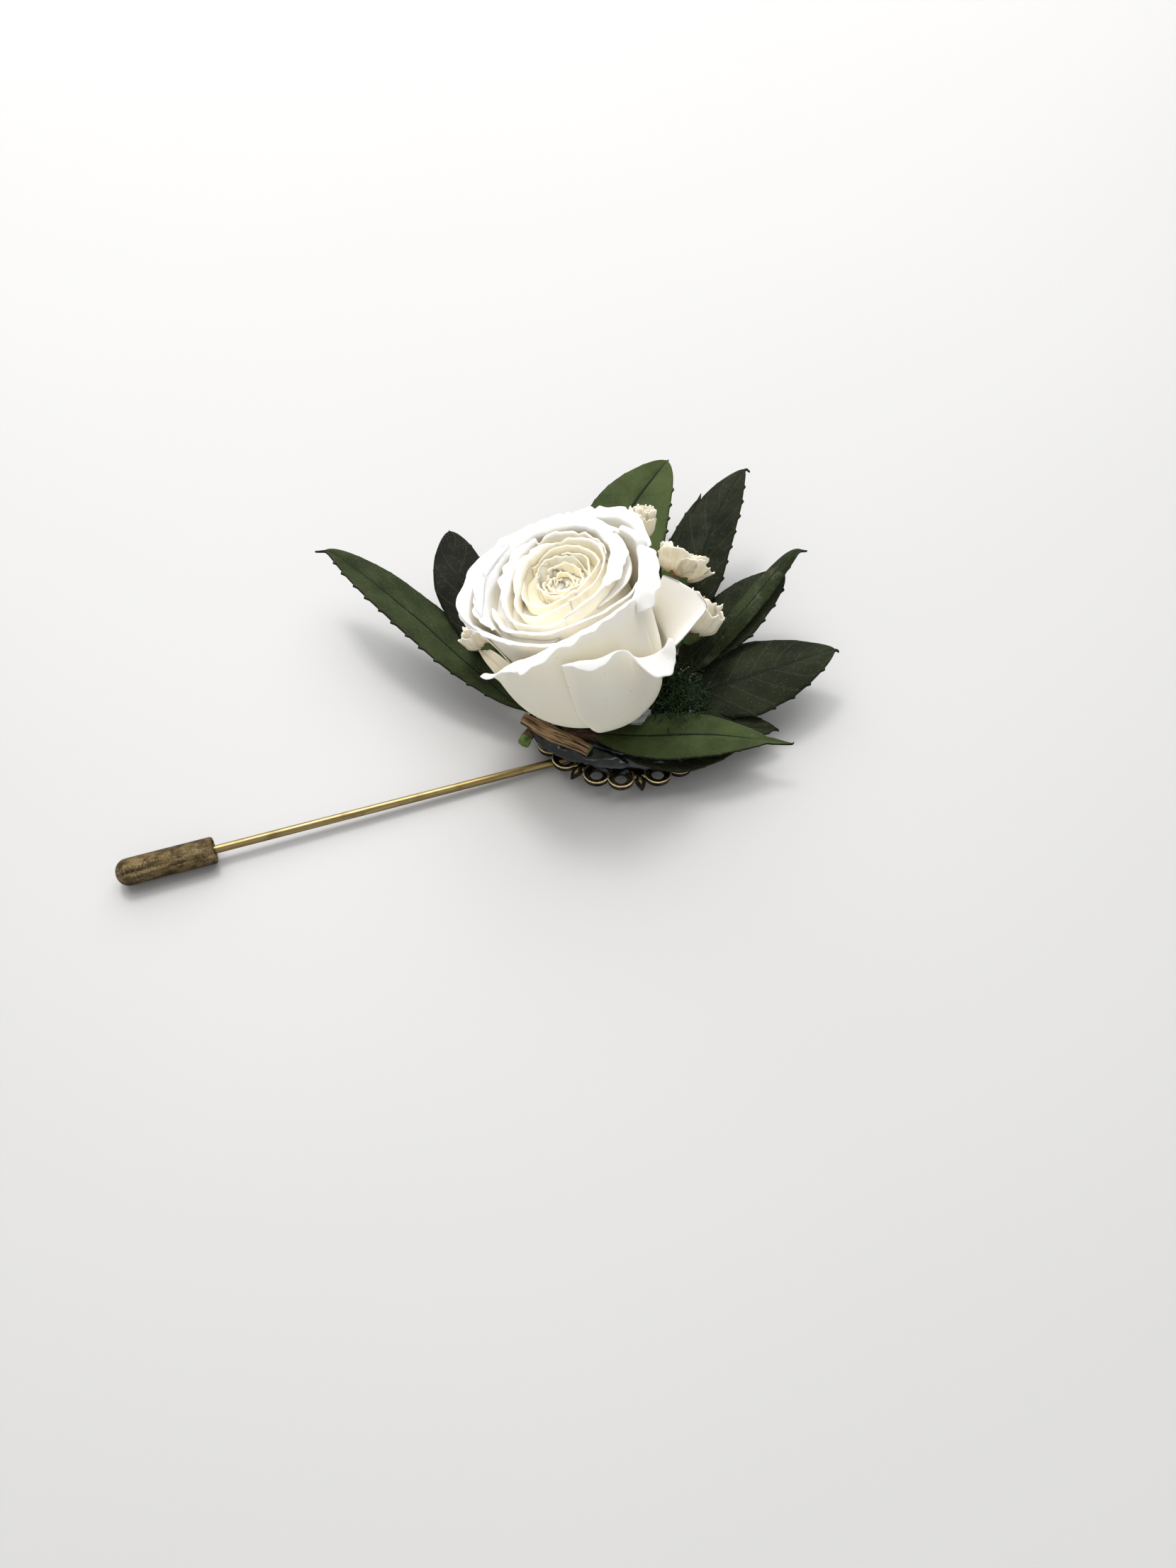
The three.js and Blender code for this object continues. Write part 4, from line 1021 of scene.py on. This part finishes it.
# Each petal: its turn, counted from 0 outside, its bowl's radius at the start, middle and end, how much
# it ruffles, how far its lip leans from upright in degrees, and its edge from one end to the other as
# (azimuth in degrees, radius, height, width of the lip).
PETALS = {
    "petal_front": (0, (13.15, 12.6, 11.8), 0.22, 116, [
        (268, 12.6, 19.9, 0.4), (273, 12.5, 20.1, 1.0), (281, 12.5, 20.3, 2.0), (289, 12.8, 20.4, 1.9),
        (296, 12.8, 20.5, 1.3), (303, 12.7, 20.4, 0.5), (308, 13.0, 20.2, 0.25), (311, 13.1, 18.6, 2.6),
        (317, 12.7, 16.7, 4.0), (325, 12.6, 15.3, 4.2), (332, 12.9, 14.7, 3.4), (337, 13.6, 15.2, 2.0),
        (342, 13.9, 15.7, 0.8)]),
    "petal_right": (0, (11.8, 12.2, 12.4), 0.12, 38, [
        (-18, 13.2, 12.6, 0.3), (-6, 14.4, 12.0, 0.4), (4, 16.4, 12.3, 0.4), (11, 18.6, 13.0, 0.4),
        (18, 18.2, 13.4, 0.4), (26, 16.9, 13.8, 0.4), (37, 15.6, 13.6, 0.3)]),
    "petal_back": (0, (12.4, 12.4, 12.4), 0.25, 80, [
        (34, 13.6, 20.7, 1.2), (45, 14.3, 21.4, 2.2), (59, 14.8, 21.5, 2.6), (70, 14.5, 21.1, 2.4),
        (82, 13.9, 20.6, 2.2), (95, 13.5, 19.9, 1.8), (110, 13.1, 19.3, 1.2)]),
    "petal_left": (0, (11.9, 11.7, 10.6), 0.32, 94, [
        (100, 13.2, 19.0, 1.2), (113, 12.6, 19.3, 1.8), (130, 12.3, 19.2, 2.1), (155, 12.6, 19.0, 2.3),
        (170, 13.0, 18.7, 2.4), (184, 13.7, 18.4, 2.2), (192, 13.8, 17.9, 1.0), (202, 13.0, 17.1, 0.3)]),
    "petal_left_front": (1, (13.1, 12.8, 11.3), 0.22, 112, [
        (210, 14.8, 12.0, 1.0), (219, 13.9, 13.4, 1.5), (226, 12.8, 15.2, 1.9), (235, 12.1, 17.1, 2.4),
        (246, 11.7, 19.0, 3.2), (257, 11.3, 20.7, 2.4), (268, 10.7, 21.9, 1.9), (284, 10.0, 22.8, 1.8),
        (298, 9.8, 23.2, 1.4), (313, 9.8, 23.4, 1.1), (329, 10.2, 23.4, 1.0), (340, 10.6, 23.2, 0.8)]),
    "petal_right_roll": (1, (10.9, 11.2, 11.2), 0.15, 128, [
        (-34, 9.8, 19.4, 0.4), (-26, 9.8, 20.6, 1.0), (-20, 9.9, 22.0, 3.0), (-4, 10.2, 22.5, 3.7),
        (10, 10.7, 22.7, 3.8), (22, 11.3, 22.7, 3.5), (30, 11.9, 22.6, 3.2), (33, 12.0, 20.6, 0.3),
        (37, 12.6, 22.4, 2.4), (54, 13.2, 21.8, 1.0)]),
    "petal_left_back": (1, (11.2, 11.0, 10.2), 0.2, 84, [
        (48, 12.8, 20.9, 0.8), (80, 12.6, 20.9, 1.7), (97, 12.1, 20.5, 2.0), (110, 11.7, 20.2, 2.2),
        (140, 11.6, 19.7, 2.2), (165, 11.6, 19.2, 2.0), (183, 11.6, 18.7, 1.5), (198, 11.6, 18.0, 0.7)]),
    "petal_mid_1": (2, (8.7, 9.6, 9.9), 0.3, 106, [
        (-85, 8.4, 20.8, 0.3), (-61, 7.2, 21.4, 0.5), (-35, 7.4, 21.9, 1.0), (-20, 7.0, 22.0, 2.4),
        (0, 7.1, 22.1, 3.0), (14, 7.7, 22.1, 3.1), (30, 8.2, 22.1, 2.8), (44, 8.4, 21.9, 2.4),
        (58, 8.4, 21.6, 1.8), (76, 8.2, 21.0, 1.0)]),
    "petal_mid_2": (2, (9.9, 9.9, 9.4), 0.2, 82, [
        (48, 9.2, 21.6, 0.8), (70, 8.7, 21.1, 1.6), (95, 8.0, 20.6, 1.9), (120, 7.8, 19.9, 2.3),
        (150, 8.3, 19.3, 2.8), (178, 9.2, 18.8, 2.9), (198, 10.8, 18.4, 2.4), (212, 11.9, 18.2, 1.4),
        (222, 12.1, 18.1, 0.7)]),
    "petal_mid_3": (2, (9.9, 9.6, 9.0), 0.2, 104, [
        (192, 14.7, 16.8, 0.5), (200, 14.5, 16.9, 0.9), (209, 13.9, 17.2, 1.1), (221, 13.1, 17.8, 1.1),
        (236, 12.6, 18.6, 1.0), (250, 12.4, 19.3, 0.8), (264, 12.3, 19.9, 0.7), (292, 12.0, 20.8, 0.4)]),
    "petal_inner_1": (3, (8.4, 8.5, 8.5), 0.25, 76, [
        (22, 7.2, 21.6, 0.3), (50, 7.6, 21.2, 0.8), (75, 7.5, 20.7, 1.0), (95, 7.1, 20.2, 1.0),
        (115, 7.0, 19.7, 0.8), (136, 7.2, 19.2, 0.3)]),
    "petal_inner_2": (3, (8.5, 8.4, 8.3), 0.22, 80, [
        (116, 7.1, 19.7, 1.1), (140, 6.7, 19.4, 1.9), (165, 6.6, 19.1, 2.2), (187, 7.0, 19.0, 2.0),
        (210, 8.7, 18.9, 0.9), (227, 9.7, 19.2, 0.5), (245, 9.8, 19.8, 0.4), (262, 9.5, 20.4, 0.4),
        (276, 8.6, 20.8, 0.3)]),
    "petal_inner_3": (3, (7.9, 7.8, 7.7), 0.2, 84, [
        (204, 10.6, 18.3, 0.3), (220, 11.2, 18.7, 0.6), (233, 11.2, 19.0, 0.7), (248, 10.6, 19.5, 0.7),
        (263, 10.3, 20.1, 0.7), (285, 9.7, 20.8, 0.6), (302, 9.9, 21.3, 0.7), (318, 10.3, 21.8, 0.7),
        (332, 11.2, 22.2, 0.6), (344, 11.2, 22.0, 0.3)]),
    "petal_whorl_1": (4, (6.5, 6.8, 7.0), 0.2, 70, [
        (-76, 5.6, 20.9, 0.2), (-50, 5.3, 21.1, 0.4), (-25, 5.6, 21.4, 0.4), (0, 6.2, 21.7, 0.5),
        (25, 6.8, 21.7, 0.7), (50, 6.6, 21.3, 0.8), (75, 6.2, 20.8, 0.7), (98, 5.8, 20.2, 0.2)]),
    "petal_whorl_2": (4, (7.0, 6.8, 6.6), 0.22, 74, [
        (92, 5.9, 20.1, 0.5), (120, 5.3, 19.8, 1.3), (150, 5.2, 19.5, 1.7), (192, 5.8, 19.1, 1.5),
        (209, 7.0, 18.9, 0.7), (224, 8.1, 19.0, 0.4), (244, 7.9, 19.6, 0.3), (265, 6.6, 20.4, 0.3),
        (288, 5.4, 20.8, 0.2)]),
    "petal_whorl_3": (5, (5.4, 5.5, 5.6), 0.2, 60, [
        (-60, 4.3, 20.8, 0.2), (-37, 4.3, 21.2, 0.25), (-15, 4.6, 21.3, 0.25), (0, 5.1, 21.4, 0.3),
        (15, 5.7, 21.5, 0.4), (40, 5.6, 21.2, 0.5), (70, 5.3, 20.7, 0.5), (100, 4.9, 20.1, 0.5),
        (130, 4.7, 19.6, 0.4), (150, 4.8, 19.2, 0.2)]),
    "petal_whorl_4": (5, (5.5, 5.3, 5.2), 0.2, 60, [
        (145, 5.2, 19.3, 0.2), (175, 5.4, 18.9, 0.25), (205, 5.9, 18.8, 0.25), (230, 6.0, 19.2, 0.25),
        (256, 5.4, 20.0, 0.25), (280, 4.5, 20.5, 0.25), (305, 4.1, 20.9, 0.2)]),
    "petal_centre_1": (6, (3.7, 3.9, 4.0), 0.3, 60, [
        (-98, 2.9, 19.9, 0.15), (-60, 2.9, 20.2, 0.2), (-20, 3.8, 20.6, 0.2), (20, 4.4, 20.7, 0.2),
        (60, 4.6, 20.4, 0.2), (90, 4.4, 19.9, 0.15)]),
    "petal_centre_2": (6, (4.0, 3.9, 3.8), 0.3, 60, [
        (95, 4.1, 19.8, 0.15), (125, 3.8, 19.5, 0.2), (160, 3.6, 19.2, 0.2), (200, 3.4, 19.1, 0.2),
        (235, 3.1, 19.3, 0.2), (262, 2.9, 19.8, 0.15)]),
}
# The ring of short petals packed between the others: the edge of it round the whorl, as (azimuth in
# degrees, radius, height), a little inside and below the rims round it.
PACKED_RIM = [
    (-85, 9.0, 19.3), (-60, 8.0, 19.9), (-35, 8.6, 20.9), (-10, 9.9, 21.2), (15, 10.3, 21.1),
    (40, 10.2, 20.6), (65, 9.7, 19.9), (95, 8.3, 19.2), (125, 8.3, 18.6), (150, 9.2, 18.1),
    (175, 10.1, 17.4), (190, 11.0, 16.8), (205, 11.8, 16.3), (220, 12.1, 16.8), (236, 12.0, 17.6),
    (255, 11.7, 18.5), (266, 11.0, 18.9), (275, 9.0, 19.3)]


def leaned(azimuth, radius, height):
    """A place round the rose's axis, which leans to the left."""
    place = round_z(radius, math.radians(azimuth), height)
    place.x -= ROSE_LEAN * place.z
    return ROSE_BASE + place


def rose_petal(turn, bowl, ruffle, roll, edge, seed, grid):
    """A petal from its foot on the receptacle, round the bowl and up to its rolled edge."""
    edge = [Vector(point) for point in edge]
    foot = FOOT_HEIGHT + FOOT_STEP * turn
    foot_radius = FOOT_RADIUS - FOOT_TAPER * turn
    middle = (edge[0][0] + edge[-1][0]) / 2
    shift = WHORL_SHIFT if turn > 1 else Vector((0, 0, 0))

    def shape(u, v):
        azimuth, rim_radius, rim_height, lip = curve(edge, u)
        wave = noise.noise(Vector((azimuth * 0.035, seed, 0)))
        crimp = noise.noise(Vector((azimuth * 0.11, seed, 4)))
        tear = min(0, noise.noise(Vector((azimuth * 0.3, seed, 9))) + 0.18)
        azimuth = middle + (azimuth - middle) * min(1, 0.45 + 1.4 * v)
        belly = bowl[0] + (bowl[2] - bowl[0]) * u + (4 * bowl[1] - 2 * bowl[0] - 2 * bowl[2]) * u * (1 - u)
        power = min(2.4, max(1.1, 2.75 - 0.35 * (rim_radius - belly)))
        equator = foot + BOWL_DEPTH
        t = min(1, v / LIP_START)
        climb = max(0, (t - BOWL_SHARE) / (1 - BOWL_SHARE))
        if t < BOWL_SHARE:
            quarter = t / BOWL_SHARE * math.pi / 2
            radius = foot_radius + (belly - foot_radius) * math.sin(quarter) ** 0.76
            height = foot + BOWL_DEPTH * (1 - math.cos(quarter))
        else:
            radius = belly + (rim_radius - belly) * climb ** power
            radius += ruffle * noise.noise(Vector((azimuth * 0.05, v * 2.5, seed + 20)))
            height = equator + (rim_height - equator) * climb
            height += climb ** 3 * ruffle * (1.6 * wave + 0.5 * crimp + 1.6 * tear)
            radius += climb ** 3 * ruffle * (0.8 * crimp + 1.2 * wave)
        if v > LIP_START:
            start = math.atan2(power * (rim_radius - belly), rim_height - equator)
            finish = math.radians(roll * (1 + 0.12 * crimp + 0.15 * wave))
            width = max(0.12, lip * (1 + 0.25 * crimp + 0.7 * tear)) * (v - LIP_START) / (1 - LIP_START)
            bend = min(LIP_TURN, lip / (finish - start))
            angle = min(finish, start + width / bend)
            straight = max(0, width - bend * (finish - start))
            radius += bend * (math.cos(start) - math.cos(angle)) + straight * math.sin(angle)
            height += bend * (math.sin(angle) - math.sin(start)) + straight * math.cos(angle)
        return leaned(azimuth, radius, height) + shift * climb ** 1.5

    return surface(*grid, shape)


def white_petal(title, foot, bowl):
    """Papery white, cream towards the foot and the middle, with faint creases and a few grey specks. The
    cream in the deep middle is partly painted shade.
    """
    finish = Finish(title, roughness=0.65, specular_ior_level=0.25, subsurface_weight=0.85,
                    subsurface_scale=0.0008, subsurface_radius=(1.0, 0.96, 0.88))
    middle = (ROSE_BASE + WHORL_MIDDLE) * MM + TRAY_CENTRE
    off_middle = finish.place.node("VectorMath", {0: finish.place, 1: middle}, out=1, operation="DISTANCE")
    creases = finish.uv.stretched(30, 2.0, 1).noise(1.0, detail=4.0, roughness=0.55)
    cloud = finish.place.noise(210.0, detail=3.0)
    grain = finish.place.noise(4200.0, detail=3.0)
    specks = finish.place.specks(420.0, 0.055)
    pale = (finish.along + cloud * 0.25 - 0.12).above(0.05, 0.6)
    wall = pale.mix(foot, bowl)
    lip = (finish.along + cloud * 0.1 - 0.05).above(LIP_START - 0.07, LIP_START + 0.05)
    body = lip.mix(wall, (0.975, 0.95, 0.89))
    # Warmer cream towards the whorl's middle: the rose's own cream, and painted shade deep in the middle.
    cream_and_shade = (off_middle.above(*CREAM_AND_SHADE_REACH) * 0.75).mix(body, (0.96, 0.85, 0.59))
    creased = (creases.above(0.55, 0.8) * 0.12).mix(cream_and_shade, (0.88, 0.82, 0.68))
    finish.set(base_color=(specks * 0.5).mix(creased, (0.33, 0.31, 0.28)))
    finish.bump(creases * 0.6 + grain * 0.3 + cloud * 0.4, 0.0001, 0.4)
    return finish.material


def build_petals():
    material = white_petal("white_petal", (0.95, 0.84, 0.60), (0.97, 0.89, 0.72))
    # The right petal, flat and facing up into the light, gets a whiter copy of the petal colours: painted
    # light.
    lit_petal = white_petal("white_petal_laid_out", (0.97, 0.93, 0.85), (0.98, 0.965, 0.93))
    for index, (name, petal) in enumerate(PETALS.items()):
        mesh = rose_petal(*petal, index * 5.3, OUTER_GRID if petal[0] < OUTER_TURNS else INNER_GRID)
        look = lit_petal if name == "petal_right" else material
        made = piece(f"{name}_rolled", mesh, look, [name], sharp=180)
        thicken(made, PETAL_THICKNESS)
        smooth = made.modifiers.new("smooth", "SUBSURF")
        smooth.levels = smooth.render_levels = 1
    return material


def heart_folds():
    """The smallest petals, packed tightly in a spiral in the middle."""
    folds = bmesh.new()
    draw = random.Random(4)
    for index in range(HEART_FOLDS):
        azimuth = index * GOLDEN_ANGLE
        reach = 0.7 + HEART_REACH * index / HEART_FOLDS
        span = draw.uniform(48, 84)
        top = HEART_TOP + 0.1 * index + draw.uniform(-0.15, 0.15)
        tilt = 0.2 * reach * math.cos(math.radians(azimuth))
        rim = [(azimuth + span * (k - 1.5), reach * (0.92, 1.06, 1.06, 0.92)[k],
                top + tilt - (0.8, 0, 0, 0.8)[k], 0.3) for k in range(4)]
        joined(folds, rose_petal(6, (2.6, 2.6, 2.6), 0.22, 40, rim, 50 + index * 3.1, FOLD_GRID))
    return folds


def packed_turn():
    """The short petals packed between the others, as one dished sheet up to their edge."""
    rim = [Vector(point) for point in PACKED_RIM]

    def shape(u, v):
        azimuth, radius, height = curve(rim, u)
        reach = radius * v
        level = PACKED_MIDDLE + (height - PACKED_MIDDLE) * v
        level += 0.3 * noise.noise(Vector((azimuth * 0.04, reach * 0.9, 3))) * v
        return leaned(azimuth, reach, level) + WHORL_SHIFT

    return surface(*PACKED_GRID, shape)


def build_heart(material):
    heart = heart_folds()
    joined(heart, packed_turn())
    for vert in bmesh.ops.create_icosphere(heart, subdivisions=3, radius=1)["verts"]:
        fold = 1 + 0.25 * noise.noise(vert.co * 1.6)
        at = vert.co * DOME_HALF_SIZES
        vert.co = ROSE_BASE + WHORL_MIDDLE + Vector((at.x * fold, at.y * fold, at.z - DOME_DROP))
    made = piece("rose_heart", heart, material, sharp=180)
    thicken(made, PETAL_THICKNESS)


def build_receptacle():
    base = turned([(0, -1.4), (1.8, -1.4), (2.3, 0), (2.05, 3.2), (0, 5.4)], steps=40)
    for vert in base.verts:
        vert.co.x -= ROSE_LEAN * vert.co.z
    bmesh.ops.translate(base, vec=ROSE_BASE, verts=base.verts)
    piece("rose_receptacle_grown", base, dried_green_material, ["rose_receptacle"])


build_heart(build_petals())
build_receptacle()

# The photograph's view, tilted down 56 degrees at a pale table. Soft daylight comes from above and
# behind, with a smaller lamp beside it and a little light from the room in front.
CAMERA_AIM = TRAY_CENTRE + Vector((-5.7, -12.0, 0)) * MM
CAMERA_DISTANCE = 0.180
CAMERA_TILT = math.radians(56)
CAMERA_LENS = 28.0
SENSOR_WIDTH = 36.0
TABLE_HALF_SIZE = 8.0
DAYLIGHT_STRENGTH = 0.51
# Each light: its place and its size in metres, its power in watts and its colour.
LIGHTS = {
    "window": ((-0.04, 0.54, 0.70), 1.3, 12.2, (1.0, 0.995, 0.99)),
    "lamp": ((-0.13, 0.36, 0.70), 0.18, 1.9, (1.0, 0.98, 0.95)),
    "room": ((0.10, -0.80, 0.35), 0.8, 0.6, (1.0, 0.98, 0.95)),
}


def build_camera():
    data = bpy.data.cameras.new("camera")
    data.lens = CAMERA_LENS
    data.sensor_width = SENSOR_WIDTH
    data.clip_start = 0.01
    camera = in_scene("camera", data)
    away = Vector((0, -math.cos(CAMERA_TILT), math.sin(CAMERA_TILT)))
    camera.location = CAMERA_AIM + away * CAMERA_DISTANCE
    camera.rotation_euler = (math.pi / 2 - CAMERA_TILT, 0, 0)
    bpy.context.scene.camera = camera


def light(name, place, size, power, colour):
    """A square soft light over the table, facing the flower."""
    data = bpy.data.lights.new(name, "AREA")
    data.size = size
    data.energy = power
    data.color = colour
    made = in_scene(name, data)
    made.location = place
    made.rotation_euler = (TRAY_CENTRE - Vector(place)).to_track_quat("-Z", "Y").to_euler()


def white_table():
    finish = Finish("white_table", roughness=0.5)
    cloud = finish.place.noise(9.0, detail=2.0)
    finish.set(base_color=cloud.mix((0.515, 0.515, 0.517), (0.53, 0.53, 0.532)))
    return finish.material


def build_stage():
    mesh = bmesh.new()
    bmesh.ops.create_grid(mesh, x_segments=2, y_segments=2, size=TABLE_HALF_SIZE)
    data = as_data("table", mesh)
    data.materials.append(white_table())
    table = in_scene("table", data)
    world = bpy.data.worlds.new("daylight")
    world.use_nodes = True
    sky = world.node_tree.nodes["Background"].inputs
    sky["Color"].default_value = (1.0, 0.995, 0.985, 1)
    sky["Strength"].default_value = DAYLIGHT_STRENGTH
    bpy.context.scene.world = world
    for name, settings in LIGHTS.items():
        light(name, *settings)
    bpy.context.scene.view_settings.view_transform = "Standard"


build_camera()
build_stage()
